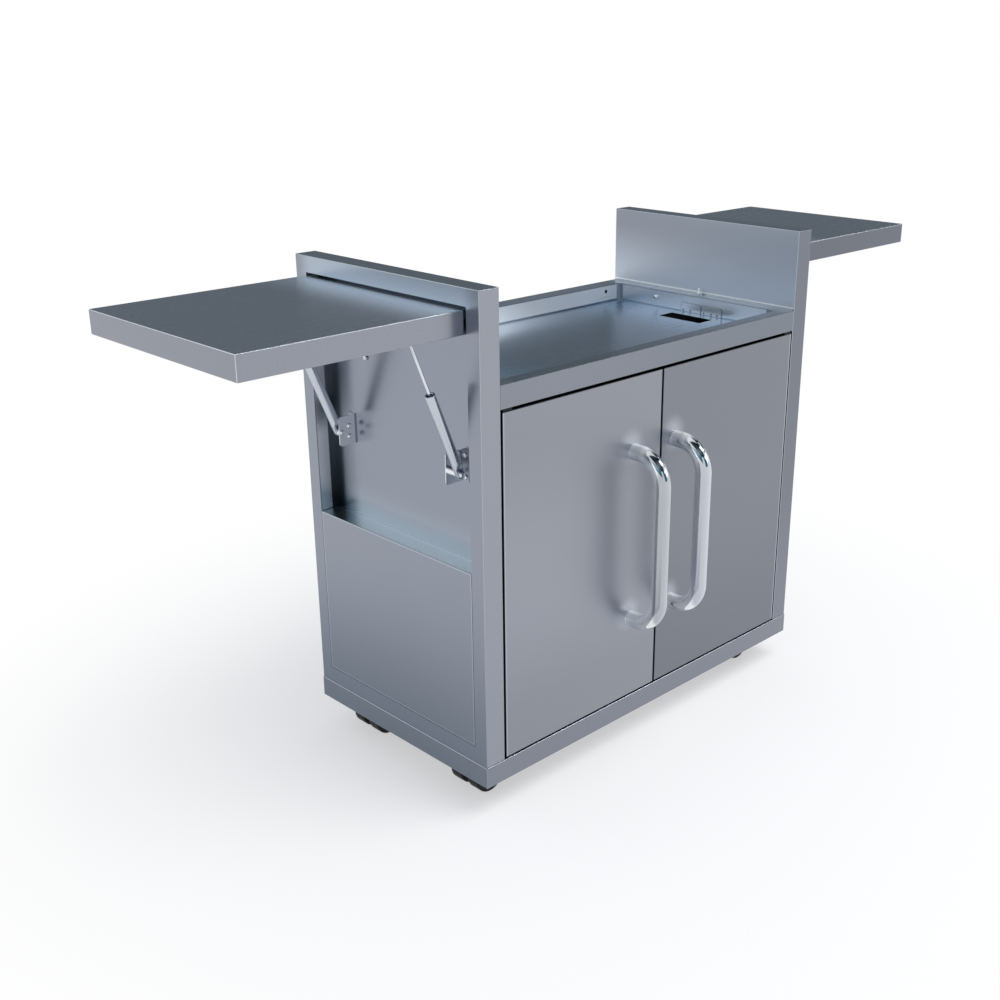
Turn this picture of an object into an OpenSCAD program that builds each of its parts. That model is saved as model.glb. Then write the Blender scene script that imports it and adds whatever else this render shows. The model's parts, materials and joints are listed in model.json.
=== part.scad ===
// Grill cart with storage: a folded steel cabinet on twin-wheel casters.
// A drop-in grill head sits in the tray between the two raised side walls.
// Two doors close the front, and a shelf on each side folds down into a recess of its wall.
// Millimetres, Z up, the floor is Z = 0 and the doors face -Y. Right-hand pieces are drawn and mirrored.

/* [Cabinet] */
// Width over the two side walls
body_w = 864; // [700:1:1100]
// Depth from the door fronts to the back panel
body_d = 468; // [400:1:600]
// Height of the skirt above the floor
base_clear = 56; // [50:1:80]
// Height of the skirt
skirt_h = 40; // [34:1:60]
// How far the skirt stands out from the walls above it
skirt_proud = 1; // [0.5:0.1:3]
// Width of the skirt's top flange, which carries the walls
skirt_flange = 30; // [24:1:36]
// Width of the skirt's bottom lip
skirt_lip = 12; // [6:1:20]
// Height of the door opening
opening_h = 623; // [520:1:760]
// Height of the front and back rails
rail_h = 40; // [30:1:60]
// Width of the flange under each rail
rail_flange = 36; // [34:1:60]
// Rise of the side walls above the rails
wall_rise = 152; // [140:1:200]
// Thickness of each side wall
wall_t = 41.5; // [41:0.1:44]
// Sheet thickness of the body
sheet = 1; // [0.8:0.1:1.2]
// Outer radius of the sheet's folds
bend_r = 1.5; // [1:0.1:2.5]

/* [Side recess] */
// Width of the upright stiles beside the recess
stile_w = 29; // [26:0.5:40]
// Height of the wall below the recess window
sill_h = 31; // [20:1:60]
// Height of the wall above the recess window
header_h = 28.5; // [24:0.5:40]
// Height of the panel that closes the lower window
insert_h = 319; // [260:1:330]
// Depth of the frame's folded edges round the recess window
return_w = 25; // [22:0.5:28]
// Groove round the lower panel
insert_gap = 1; // [0.5:0.1:2]
// Depth of the lower panel's folded edges
insert_flange = 15; // [8:1:25]
// Diameter of the stop stud in the recess
stud_d = 8; // [6:0.5:12]
// Length of the stop stud
stud_len = 4; // [3:0.5:11]
// Distance of the stop stud from the recess window's back edge
stud_in = 103; // [90:1:140]

/* [Grill tray] */
// Depth of the tray
tray_depth = 35; // [20:1:38]
// Width of the tray's lip at the sides
side_lip = 25.5; // [18:0.5:40]
// Width of the tray's lip at the front
front_lip = 26; // [18:0.5:34]
// Width of the tray's lip at the back
back_lip = 37; // [30:0.5:50]
// Corner radius of the tray
tray_r = 12; // [4:1:20]
// Height of the tray's upstand against the side walls
upstand_h = 3; // [2:0.5:8]
// Width of the slot in the tray's floor
slot_w = 42; // [30:1:48]
// Length of the slot in the tray's floor
slot_len = 104; // [60:1:140]
// Distance of the slot's middle from the tray's right wall
slot_in = 47; // [38:1:80]
// Distance of the slot's middle in front of the cart's middle
slot_y = 24; // [0:1:60]
// Corner radius of the slot
slot_r = 3; // [1:0.5:8]
// Diameter of the round opening in the tray's back wall
hose_hole_d = 8; // [6:0.5:14]
// Distance of the round opening from the tray's right wall
hose_hole_in = 43; // [30:1:80]
// Depth of the round opening below the tray's lip
hose_hole_drop = 13; // [10:0.5:20]

/* [Tray fittings] */
// Length of each cover plate on the tray's right wall
cover_w = 52; // [30:0.5:60]
// Height of the cover plates
cover_h = 19; // [12:0.5:24]
// Thickness of the cover plates
cover_t = 1; // [0.8:0.1:2]
// Corner radius of the cover plates
cover_r = 3; // [1:0.5:6]
// Gap between the two cover plates
cover_gap = 0.8; // [0.5:0.1:3]
// Distance of the joint between the plates in front of the cart's middle
cover_y = 27; // [0:1:60]
// Diameter of the round fitting on the tray's right wall
fitting_d = 9; // [7:0.5:14]
// Length of the round fitting
fitting_len = 6; // [4:0.5:14]
// Distance of the round fitting behind the cart's middle
fitting_y = 94; // [60:1:140]
// Depth of the round fitting below the lip
fitting_drop = 16; // [10:0.5:22]
// Diameter of the upright pin on the right lip
lip_pin_d = 4.5; // [4:0.5:8]
// Height of the upright pin
lip_pin_h = 14; // [8:0.5:25]
// Distance of the upright pin from the side wall
lip_pin_in = 9.5; // [8:0.5:14]
// Distance of the upright pin in front of the cart's middle
lip_pin_y = 6; // [0:1:40]
// Diameter of the upright pin's foot
lip_foot_d = 7; // [6:0.5:12]
// Height of the upright pin's foot
lip_foot_h = 1.5; // [1:0.5:4]

/* [Doors] */
// Thickness of each door
door_t = 20; // [18:0.5:24]
// Sheet thickness of the door skins
door_sheet = 1.2; // [0.8:0.1:1.6]
// Gap between the two doors
door_gap_mid = 3.4; // [2:0.1:6]
// Gap beside each door
door_gap_side = 3.5; // [3:0.1:6]
// Gap above each door
door_gap_top = 4.3; // [3:0.1:8]
// Gap below each door
door_gap_low = 2.5; // [2:0.1:8]
// Diameter of the door's pivot pins
pivot_d = 6; // [5:0.5:7]
// Distance of the pivot from the door's outer edge
pivot_in = 12; // [10:0.5:14]
// Distance of the pivot behind the door's front
pivot_back = 8; // [7:0.5:9]
// Reach of the pivot pins beyond the door
pivot_out = 8.5; // [6:0.5:10]
// Height of the block that holds each pin inside the door
pivot_block_h = 14; // [8:0.5:20]
// Width of the bearing blocks on the frame
bearing_w = 20; // [16:0.5:22]
// Depth of the bearing blocks on the frame
bearing_d = 13; // [10:0.5:14]
// Depth of the liner's folded edges
liner_flange = 8; // [4:0.5:14]
// Distance of the catches from the middle of the doors
catch_x = 60; // [30:1:120]
// Width of the catches
catch_w = 40; // [20:1:50]
// Height of the catches
catch_h = 12; // [8:0.5:20]
// Depth of the catches
catch_d = 13; // [8:0.5:14]
// Thickness of the strike plates
strike_t = 1.2; // [0.8:0.1:2]

/* [Handles] */
// Diameter of the handle tube
handle_d = 30; // [20:0.5:34]
// Wall of the handle tube
handle_wall = 1.5; // [1:0.1:3]
// Bend radius of the handle's middle line
handle_bend = 52.5; // [40:0.5:60]
// Distance of the grip's middle line from the doors
handle_reach = 67; // [61:0.5:90]
// Height between the handle's two legs
handle_span = 321; // [240:1:400]
// Height of the lower leg above the skirt
handle_low = 161; // [100:1:200]
// Distance of the left handle from the middle
handle_left_x = 72; // [30:1:120]
// Distance of the right handle from the middle
handle_right_x = 40; // [30:1:120]

/* [Side shelves] */
// Reach of each shelf beyond the side wall
shelf_reach = 396.4; // [300:0.1:396.4]
// Thickness of each shelf
shelf_t = 39; // [36:0.1:39]
// Gap between the shelf and the stiles
shelf_gap = 3.5; // [3.3:0.1:5]
// Distance of the shelf top below the top of the side wall
shelf_drop = 33; // [32:0.1:40]
// Width of the lip folded in round the shelf's underside
shelf_lip = 12; // [6:0.5:14]
// Distance of the shelf's pivot inside the outer face of the wall
fold_in = 12.6; // [12.5:0.1:12.8]
// Depth of the shelf's pivot below the shelf top
fold_drop = 12.2; // [12:0.1:12.4]
// Length of the shelf inside its pivot
heel = 5; // [4.8:0.1:5.2]
// Diameter of the shelf's pivot pins
fold_pin_d = 6; // [5:0.5:6]
// Diameter of the collar on the pivot pins
fold_collar_d = 12; // [9:0.5:14]
// Diameter of the pin's head inside the shelf
fold_head_d = 7.6; // [7:0.1:7.8]
// Thickness of the bosses in the stiles
boss_t = 4; // [2:0.5:8]
// Diameter of the bosses in the stiles
boss_d = 16; // [12:0.5:20]
// Depth of the hat stiffeners under the shelf top
hat_depth = 27.6; // [20:0.1:27.6]
// Width of the hat stiffeners
hat_w = 30; // [20:1:50]
// Width of the flanges of all hat sections
hat_flange = 10; // [6:0.5:14]
// Distance of the stiffeners' ends from the shelf's sides
hat_in = 71.5; // [65:0.5:110]
// Distance of the first stiffener outside the shelf's pivot
hat_out = 121.9; // [110:0.1:150]
// Distance between the two stiffeners
hat_pitch = 170; // [100:1:200]

/* [Shelf struts] */
// Distance of the front struts inside the shelf's sides
strut_front_in = 31; // [28:0.5:40]
// Distance of the back struts inside the shelf's sides
strut_back_in = 49.5; // [40:0.5:49.5]
// Distance of the lower pivot inside the outer face of the wall
foot_in = 10.5; // [10.3:0.1:10.7]
// Depth of the lower pivot below the shelf's pivot
foot_drop = 258.5; // [250:0.5:262]
// Distance of the upper pivot outside the shelf's pivot
head_out = 98.9; // [95:0.1:104]
// Depth of the upper pivot below the shelf's pivot
head_drop = 20; // [18:0.1:22]
// Diameter of the strut tube
strut_d = 17; // [14:0.5:17]
// Wall of the strut tube
strut_wall = 1.5; // [1:0.1:2]
// Distance from the lower pivot to the end of the tube
tube_start = 12; // [11:0.5:16]
// Distance from the lower pivot to the tube's mouth
tube_end = 153; // [130:0.5:153]
// Thickness of the plug in the tube's lower end
plug_t = 7; // [4:0.5:8]
// Depth of the guide ring inside the tube's mouth
guide_in = 8; // [4:0.5:14]
// Thickness of the guide ring
guide_t = 7; // [4:0.5:10]
// Diameter of the rolled-in mouth of the tube
mouth_d = 9.5; // [8:0.5:12]
// Diameter of the strut rod
rod_d = 5; // [4:0.5:7.5]
// Distance from the lower pivot to the rod's inner end
rod_start = 121; // [120:0.5:124]
// Length of the piston on the rod
piston_t = 7; // [5:0.5:8]
// Diameter of the eye at each end of a strut
lower_eye_d = 16; // [12:0.5:16.6]
// Diameter of the eye at the rod's head
upper_eye_d = 12; // [10:0.5:13]
// Width of the eyes
eye_w = 8; // [6:0.5:9]
// Diameter of the strut's pivot pins
strut_pin_d = 6; // [5:0.5:7]
// Diameter of the spacer on the lower pin
spacer_d = 14; // [10:0.5:15]
// Distance of the bracket plates inside the shelf's sides
bracket_in = 60; // [60:0.5:64]
// Thickness of the bracket plates
bracket_t = 1.5; // [1:0.1:3]
// Reach of the bracket plates from the recess wall
bracket_reach = 36; // [32:0.5:37]
// Height of the bracket plates
bracket_h = 53.5; // [40:0.5:70]
// Depth of the bracket's lower edge below its pivot
bracket_drop = 25; // [20:0.5:35]
// Corner radius of the bracket plates
bracket_r = 5; // [2:0.5:10]
// Distance of the bracket's rivets from the pivot, inwards
rivet_in = 16; // [12:0.5:20]
// Distance of the bracket's rivets above and below the pivot
rivet_up = 9.5; // [8:0.5:14]
// Diameter of the rivet heads
rivet_d = 9; // [5:0.5:10]
// Width of the bracket's flange on the recess wall
bracket_flange = 16; // [14:0.5:20]
// Distance of the flange's rivets from the flange's ends
flange_rivet_in = 8; // [6:0.5:14]
// Height of the rivet heads
rivet_h = 1.8; // [1:0.1:3]
// Thickness of the tab plates under the shelf
tab_t = 2; // [1.5:0.1:3]
// Width of the tab plates
tab_w = 26; // [20:0.5:30]
// Depth of the tab plates below their pivot
tab_drop = 7; // [6:0.5:10]

/* [Casters] */
// Diameter of the wheels
wheel_d = 60; // [50:1:62]
// Width of each wheel
wheel_w = 29; // [18:0.5:30]
// Gap between the two wheels of a caster
wheel_gap = 15; // [14:0.5:20]
// Rounding of the wheels' edges
wheel_r = 3; // [2:0.5:6]
// Distance of the swivels inside the side walls' outer faces
caster_side_in = 70; // [68:1:130]
// Distance of the swivels behind the doors and in front of the back panel
caster_end_in = 92; // [90:0.5:130]
// Trail of the wheels behind the swivel
trail = 12; // [8:0.5:16]
// Diameter of the wheels' axle
axle_d = 8; // [6:0.5:10]
// Diameter of the swivel pin
swivel_d = 8; // [6:0.5:9]
// Height of the swivel pin's lower end above the axle
swivel_rise = 16; // [10:0.5:22]
// Gap between the wheels and the hood's web
web_gap = 1; // [0.5:0.1:2]
// Depth of the channels that carry the casters
channel_depth = 17; // [12:0.5:18]
// Width of the channels
channel_w = 48; // [40:1:54]
// Thickness of the caster plates
plate_t = 3; // [2:0.5:4]
// Length of the caster plates
plate_len = 62; // [54:1:80]
// Width of the caster plates
plate_w = 46; // [36:1:46]
// Height of the swivel race under each plate
race_h = 2; // [1:0.5:3]
// Diameter of the swivel race
race_d = 30; // [24:0.5:34]
// Diameter of the caster's neck
neck_d = 24; // [18:0.5:28]
// Gap between the wheels and the hood
hood_gap = 1.5; // [1:0.1:3]
// Thickness of the hood
hood_t = 2.5; // [2:0.1:4]
// Height of the hood's lower edge above the axle
hood_low = 6; // [0:0.5:14]

/* [Back panel] */
// Number of vent slots in each row
vent_count = 9; // [1:1:15]
// Length of the vent slots
vent_len = 60; // [30:1:90]
// Width of the vent slots
vent_w = 6; // [4:0.5:10]
// Distance between the vent slots
vent_pitch = 22; // [14:0.5:30]
// Distance of the vent rows from the panel's ends
vent_in = 80; // [50:1:120]
// Depth of the panel's folded edges
back_flange = 12; // [6:0.5:20]

/* [Hidden] */
$fn = 48;

// Overrun of cuts past the faces they open
over = 0.5;
// Radial clearance of pins that turn
run = 0.05;
// Gap between pieces that move past each other
gap = 0.3;
// Share of a wheel's radius taken by the recess in its outer face
recess_share = 0.75;
// Share of a wheel's radius taken by its hub
hub_share = 0.4;
// Share of a wheel's width taken by the recess
recess_depth_share = 0.15;

body_x = body_w / 2;
body_y = body_d / 2;
inner_x = body_x - wall_t;
recess_x = inner_x + sheet;
skirt_x = body_x + skirt_proud;
skirt_y = body_y + skirt_proud;
skirt_top = base_clear + skirt_h;
rail_low = skirt_top + opening_h;
lip_z = rail_low + rail_h;
side_top = lip_z + wall_rise;
window_y = body_y - stile_w;
window_low = skirt_top + sill_h;
window_top = side_top - header_h;
ledge_z = window_low + insert_h;
seam_x = body_x - return_w;

well_x = inner_x - side_lip;
well_front = front_lip - body_y;
well_back = body_y - back_lip;
well_floor = lip_z - tray_depth;

door_in = door_gap_mid / 2;
door_out = inner_x - door_gap_side;
door_low = skirt_top + door_gap_low;
door_high = rail_low - door_gap_top;
door_back = door_t - body_y;
pivot_x = door_out - pivot_in;
pivot_y = pivot_back - body_y;
strike_back = door_back + strike_t;
handle_mid = skirt_top + handle_low + handle_span / 2;

fold_x = body_x - fold_in;
shelf_top = side_top - shelf_drop;
fold_z = shelf_top - fold_drop;
shelf_y = window_y - shelf_gap;
shelf_low = shelf_top - shelf_t;
shelf_in = fold_x - heel;
shelf_out = body_x + shelf_reach;
shelf_under = shelf_top - sheet;

foot_x = body_x - foot_in;
foot_z = fold_z - foot_drop;
head_x = fold_x + head_out;
head_z = fold_z - head_drop;
strut_len = sqrt(pow(head_x - foot_x, 2) + pow(head_z - foot_z, 2));
strut_tilt = atan2(head_x - foot_x, head_z - foot_z);
stud_y = window_y - stud_in;
stud_z = fold_z - hat_out;
bracket_y = shelf_y - bracket_in;
bracket_face = bracket_y + bracket_t;
pin_reach = (strut_d - eye_w) / 2;
hat_len = 2 * (shelf_y - hat_in);

caster_x = body_x - caster_side_in;
caster_y = body_y - caster_end_in;
channel_low = skirt_top - channel_depth;
plate_low = channel_low - plate_t;
race_low = plate_low - race_h;
web_w = wheel_gap - 2 * web_gap;
swivel_low = wheel_d / 2 + swivel_rise;
caster_w = wheel_gap + 2 * wheel_w;

// The frame's middle lies between the handles' front and the skirt's back
origin_y = (body_y + handle_reach + handle_d / 2 - skirt_y) / 2;

steel = "#9aa3ad";
steel_dark = "#7f8994";
steel_bright = "#c9d0d6";
zinc = "#aab4bc";
black = "#1b1c1e";

// Moves the whole cart so that its frame is centred
module placed() {
    translate([0, origin_y, 0]) children();
}

// Mirrors right-hand pieces for side = -1
module sided_at(side) {
    mirror([side < 0 ? 1 : 0, 0, 0]) children();
}

// Draws right-hand pieces, or their mirror image for side = -1
module sided(side) {
    placed() sided_at(side) children();
}

// Right-hand front pieces turned to either end and either side
module cornered(side, end) {
    sided(side) mirror([0, end > 0 ? 1 : 0, 0]) children();
}

// Box between two corners
module block(low, high) {
    translate(low) cube(high - low);
}

// Centred rectangle with round corners
module round_rect(w, h, r) {
    square([w - 2 * r, h], center = true);
    square([w, h - 2 * r], center = true);
    for (sx = [-1, 1], sy = [-1, 1])
        translate([sx * (w / 2 - r), sy * (h / 2 - r)]) circle(r);
}

// Centred upright slot with round ends
module slot(w, h) {
    square([w, h - w], center = true);
    for (s = [-1, 1]) translate([0, s * (h - w) / 2]) circle(d = w);
}

// Box between two corners with every edge rounded, as folded sheet has it
module folded_box(low, high, r) {
    size = high - low;
    translate((low + high) / 2)
        intersection() {
            linear_extrude(size[2], center = true) round_rect(size[0], size[1], r);
            rotate([90, 0, 0]) linear_extrude(size[1], center = true)
                round_rect(size[0], size[2], r);
            rotate([0, 90, 0]) linear_extrude(size[0], center = true)
                round_rect(size[2], size[1], r);
        }
}

// Cylinder along Y from the point at, of length len
module rod_y(at, r, len) {
    translate(at) rotate([-90, 0, 0]) cylinder(r = r, h = len);
}

// Open hat section: flanges on top at the line Y = 0, the crown hangs at depth
module hat_section(w, depth, flange, t) {
    for (s = [-1, 1]) {
        translate([s * (w + flange) / 2, -t / 2]) square([flange, t], center = true);
        translate([s * (w - t) / 2, -depth / 2]) square([t, depth], center = true);
    }
    translate([0, t / 2 - depth]) square([w, t], center = true);
}

module base_skirt() {
    color(steel) placed() difference() {
        folded_box([-skirt_x, -skirt_y, base_clear], [skirt_x, skirt_y, skirt_top], bend_r);
        block([sheet - skirt_x, sheet - skirt_y, base_clear + sheet],
            [skirt_x - sheet, skirt_y - sheet, skirt_top - sheet]);
        block([skirt_flange - skirt_x, skirt_flange - skirt_y, base_clear],
            [skirt_x - skirt_flange, skirt_y - skirt_flange, skirt_top + over]);
        block([skirt_lip - skirt_x, skirt_lip - skirt_y, base_clear - over],
            [skirt_x - skirt_lip, skirt_y - skirt_lip, base_clear + sheet + over]);
        for (side = [-1, 1])
            translate([side * pivot_x, pivot_y, skirt_top - sheet - over])
                cylinder(r = pivot_d / 2 + sheet, h = sheet + 2 * over);
    }
}

// Floor sheet, notched at the back for the back panel's folded edges
module base_floor() {
    color(steel_dark) placed() difference() {
        block([-inner_x, door_back + sheet, skirt_top], [inner_x, body_y - sheet, skirt_top + sheet]);
        for (side = [-1, 1]) sided_at(side)
            block([inner_x - sheet, body_y - back_flange, skirt_top - over],
                [inner_x + over, body_y, skirt_top + sheet + over]);
    }
}

module caster_channels() {
    len = 2 * (skirt_y - skirt_flange);
    color(steel_dark) placed() for (side = [-1, 1])
        translate([side * caster_x, 0, skirt_top]) rotate([90, 0, 0])
            linear_extrude(len, center = true)
                hat_section(channel_w, channel_depth, hat_flange, sheet * 2);
}

// Caster plate with its race and swivel pin, at one corner
module caster_plate() {
    translate([caster_x, -caster_y, plate_low]) {
        linear_extrude(plate_t) round_rect(plate_w, plate_len, wheel_r);
        translate([0, 0, -race_h]) cylinder(d = race_d, h = race_h);
    }
    translate([caster_x, -caster_y, swivel_low]) cylinder(d = swivel_d, h = plate_low - swivel_low);
}

module caster_plates() {
    color(zinc) for (side = [-1, 1], end = [-1, 1]) cornered(side, end) caster_plate();
}

// Outer shell of a side wall with its window, window returns and pivot bosses
module side_frame() {
    difference() {
        union() {
            difference() {
                folded_box([inner_x, -body_y, skirt_top], [body_x, body_y, side_top], bend_r);
                block([inner_x - over, sheet - body_y, skirt_top - over],
                    [body_x - sheet, body_y - sheet, side_top - sheet]);
                block([body_x - sheet - over, -window_y, window_low],
                    [body_x + over, window_y, window_top]);
            }
            for (end = [-1, 1]) {
                translate([seam_x, end > 0 ? window_y : -window_y - sheet, window_low])
                    cube([return_w - bend_r / 2, sheet, window_top - window_low]);
                rod_y([fold_x, end > 0 ? window_y : -window_y - boss_t, fold_z], boss_d / 2, boss_t);
            }
            block([seam_x, -window_y - sheet, window_top],
                [body_x - bend_r / 2, window_y + sheet, window_top + sheet]);
        }
        rod_y([fold_x, -body_y + sheet, fold_z], fold_pin_d / 2 + run, body_d - 2 * sheet);
    }
}

module side_frame_left() {
    color(steel) sided(-1) side_frame();
}

module side_frame_right() {
    color(steel) sided(1) side_frame();
}

// Sheet between the cabinet and the recess, with edges that meet the frame's at a seam
module inner_wall() {
    block([inner_x, sheet - body_y, skirt_top], [recess_x, body_y - sheet, side_top - sheet]);
    for (end = [-1, 1])
        translate([recess_x - sheet / 2, end > 0 ? window_y : -window_y - sheet, ledge_z])
            cube([seam_x - gap - recess_x + sheet / 2, sheet, window_top - ledge_z]);
    block([recess_x - sheet / 2, -window_y - sheet, window_top],
        [seam_x - gap, window_y + sheet, window_top + sheet]);
}

module inner_wall_left() {
    color(steel) sided(-1) inner_wall();
}

module inner_wall_right() {
    color(steel) sided(1) inner_wall();
}

// Panel that closes the lower window, folded inwards on top as the recess's ledge
module lower_panel() {
    edge_y = window_y - insert_gap;
    difference() {
        block([recess_x, -edge_y, window_low + insert_gap], [body_x, edge_y, ledge_z]);
        block([recess_x - over, sheet - edge_y, window_low + insert_gap - over],
            [body_x - sheet, edge_y - sheet, ledge_z - sheet]);
        block([recess_x - over, -edge_y - over, window_low],
            [body_x - insert_flange, edge_y + over, ledge_z - sheet]);
    }
}

module lower_panel_left() {
    color(steel) sided(-1) lower_panel();
}

module lower_panel_right() {
    color(steel) sided(1) lower_panel();
}

// Channel-shaped rail between the side walls, its face at the front
module rail(lip) {
    difference() {
        folded_box([-inner_x, -body_y, rail_low], [inner_x, rail_flange - body_y, lip_z + bend_r],
            bend_r);
        block([-inner_x - over, sheet - body_y, rail_low + sheet],
            [inner_x + over, rail_flange - body_y + over, lip_z - 2 * sheet]);
        block([-inner_x - over, -body_y - over, lip_z - sheet],
            [inner_x + over, rail_flange - body_y + over, lip_z + bend_r + over]);
        block([-inner_x - over, lip - body_y - 2 * sheet, lip_z - 2 * sheet - over],
            [inner_x + over, rail_flange - body_y + over, lip_z]);
        for (side = [-1, 1])
            translate([side * pivot_x, pivot_y, rail_low - over])
                cylinder(r = pivot_d / 2 + sheet, h = sheet + 2 * over);
    }
}

module front_rail() {
    color(steel) placed() rail(front_lip);
}

module back_rail() {
    color(steel) placed() mirror([0, 1, 0]) rail(back_lip);
}

module back_panel() {
    color(steel) placed() difference() {
        block([-inner_x, body_y - back_flange, skirt_top], [inner_x, body_y, rail_low]);
        block([sheet - inner_x, body_y - back_flange - over, skirt_top - over],
            [inner_x - sheet, body_y - sheet, rail_low + over]);
        for (row = [skirt_top + vent_in, rail_low - vent_in], n = [0:vent_count - 1], side = [-1, 1])
            translate([side * body_x / 2 + (n - (vent_count - 1) / 2) * vent_pitch, body_y, row])
                rotate([90, 0, 0]) linear_extrude(2 * (sheet + over), center = true)
                    slot(vent_w, vent_len);
    }
}

// Outline of the tray's hollow, grown by more
module well_outline(more) {
    translate([0, (well_front + well_back) / 2])
        round_rect(2 * (well_x + more), well_back - well_front + 2 * more, tray_r + more);
}

module grill_tray() {
    color(steel) placed() difference() {
        union() {
            difference() {
                folded_box([-inner_x, -body_y, lip_z - 3 * sheet], [inner_x, body_y, lip_z], sheet);
                block([-inner_x - over, -body_y - over, lip_z - 4 * sheet],
                    [inner_x + over, body_y + over, lip_z - sheet]);
            }
            translate([0, 0, well_floor - sheet]) linear_extrude(tray_depth) well_outline(sheet);
            for (side = [-1, 1])
                translate([side * (inner_x - sheet / 2), 0, lip_z - sheet / 2 + upstand_h / 2])
                    cube([sheet, body_d - 2 * sheet, upstand_h + sheet], center = true);
        }
        translate([0, 0, well_floor]) linear_extrude(tray_depth + over) well_outline(0);
        translate([well_x - slot_in, -slot_y, well_floor - sheet - over])
            linear_extrude(sheet + 2 * over) round_rect(slot_w, slot_len, slot_r);
        rod_y([well_x - hose_hole_in, well_back - over, lip_z - hose_hole_drop], hose_hole_d / 2,
            sheet + 2 * over);
        translate([inner_x - lip_pin_in, -lip_pin_y, lip_z - sheet - over])
            cylinder(d = lip_foot_d, h = sheet + 2 * over);
    }
}

module tray_cover_plates() {
    color(steel_bright) placed() for (end = [-1, 1])
        translate([well_x - cover_t, end * (cover_w + cover_gap) / 2 - cover_y,
            well_floor + cover_h / 2])
            rotate([0, 90, 0]) linear_extrude(cover_t) round_rect(cover_h, cover_w, cover_r);
}

module tray_fittings() {
    color(steel_bright) placed() {
        translate([well_x - fitting_len, fitting_y, lip_z - fitting_drop]) rotate([0, 90, 0])
            difference() {
                cylinder(d = fitting_d, h = fitting_len);
                translate([0, 0, -over])
                    cylinder(d = fitting_d / 2, h = fitting_len / 2 + over);
            }
        translate([inner_x - lip_pin_in, -lip_pin_y, lip_z - sheet]) {
            cylinder(d = lip_foot_d, h = sheet + lip_foot_h);
            cylinder(d = lip_pin_d, h = sheet + lip_pin_h);
        }
    }
}

// Bearing block for a door pin between two heights
module bearing(low, high) {
    difference() {
        block([pivot_x - bearing_w / 2, pivot_y - pivot_back + sheet, low],
            [pivot_x + bearing_w / 2, pivot_y - pivot_back + sheet + bearing_d, high]);
        translate([pivot_x, pivot_y, low - over])
            cylinder(r = pivot_d / 2 + run, h = high - low + 2 * over);
    }
}

module door_pivot_blocks() {
    color(zinc) for (side = [-1, 1]) sided(side) {
        bearing(skirt_top, door_low - gap);
        bearing(door_high + gap, rail_low);
    }
}

module magnet_catches() {
    color(black) for (side = [-1, 1]) sided(side)
        block([catch_x - catch_w / 2, strike_back + gap, rail_low - catch_h],
            [catch_x + catch_w / 2, strike_back + gap + catch_d, rail_low]);
}

// Distance of a strut from the cart's middle, by its end of the cart
function strut_at(end) = shelf_y - (end > 0 ? strut_back_in : strut_front_in);

// Strut bracket: wall flange, plate, spacer, pivot pin and rivets
module strut_bracket(strut_y) {
    low = foot_z - bracket_drop;
    eye_near = strut_y - eye_w / 2;
    difference() {
        translate([recess_x + bracket_reach / 2, -bracket_y, low + bracket_h / 2]) rotate([90, 0, 0])
            linear_extrude(bracket_t) round_rect(bracket_reach, bracket_h, bracket_r);
        block([recess_x, -bracket_face - over, low - over],
            [recess_x + bracket_t, over - bracket_y, low + bracket_h + over]);
    }
    block([recess_x, -bracket_face - bracket_flange, low],
        [recess_x + bracket_t, -bracket_y, low + bracket_h]);
    for (z = [low + flange_rivet_in, low + bracket_h - flange_rivet_in])
        translate([recess_x, -bracket_face - bracket_flange / 2, z]) rotate([0, 90, 0])
            cylinder(d = rivet_d, h = bracket_t + rivet_h);
    rod_y([foot_x, gap - eye_near, foot_z], spacer_d / 2, eye_near - gap - bracket_face);
    rod_y([foot_x, -strut_y - eye_w / 2 - gap - rivet_h, foot_z], strut_pin_d / 2,
        eye_w + eye_near - bracket_face + gap + rivet_h);
    rod_y([foot_x, -strut_y - eye_w / 2 - gap - rivet_h, foot_z], strut_pin_d, rivet_h);
    for (up = [-1, 1])
        rod_y([foot_x - rivet_in, -bracket_face - rivet_h, foot_z + up * rivet_up], rivet_d / 2,
            bracket_t + 2 * rivet_h);
    rod_y([foot_x, -bracket_y, foot_z], rivet_d / 2, rivet_h);
}

module strut_brackets_left() {
    color(zinc) for (end = [-1, 1]) cornered(-1, end) strut_bracket(strut_at(end));
}

module strut_brackets_right() {
    color(zinc) for (end = [-1, 1]) cornered(1, end) strut_bracket(strut_at(end));
}

module recess_studs() {
    color(zinc) for (side = [-1, 1]) sided(side)
        translate([recess_x, stud_y, stud_z]) rotate([0, 90, 0]) cylinder(d = stud_d, h = stud_len);
}

// Front sheet of a door with its four folded edges
module door_skin() {
    difference() {
        folded_box([door_in, -body_y, door_low], [door_out, door_back + 2 * bend_r, door_high],
            bend_r);
        block([door_in - over, door_back, door_low - over],
            [door_out + over, door_back + 3 * bend_r, door_high + over]);
        block([door_in + door_sheet, door_sheet - body_y, door_low + door_sheet],
            [door_out - door_sheet, door_back + over, door_high - door_sheet]);
        translate([pivot_x, pivot_y, door_low - over])
            cylinder(d = pivot_d, h = door_high - door_low + 2 * over);
    }
}

module door_skin_left() {
    color(steel) sided(-1) door_skin();
}

module door_skin_right() {
    color(steel) sided(1) door_skin();
}

// Pan that closes the back of a door
module door_liner() {
    low = [door_in + door_sheet, door_back - liner_flange, door_low + door_sheet];
    high = [door_out - door_sheet, door_back, door_high - door_sheet];
    wall = [sheet, 0, sheet];
    difference() {
        block(low, high);
        block(low + wall - [0, over, 0], high - wall - [0, sheet, 0]);
        for (z = [low[2] - over, high[2] - pivot_block_h])
            block([pivot_x - bearing_w / 2, low[1] - over, z],
                [high[0] + over, high[1] - sheet, z + pivot_block_h + over]);
    }
}

module door_liner_left() {
    color(steel_dark) sided(-1) door_liner();
}

module door_liner_right() {
    color(steel_dark) sided(1) door_liner();
}

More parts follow.
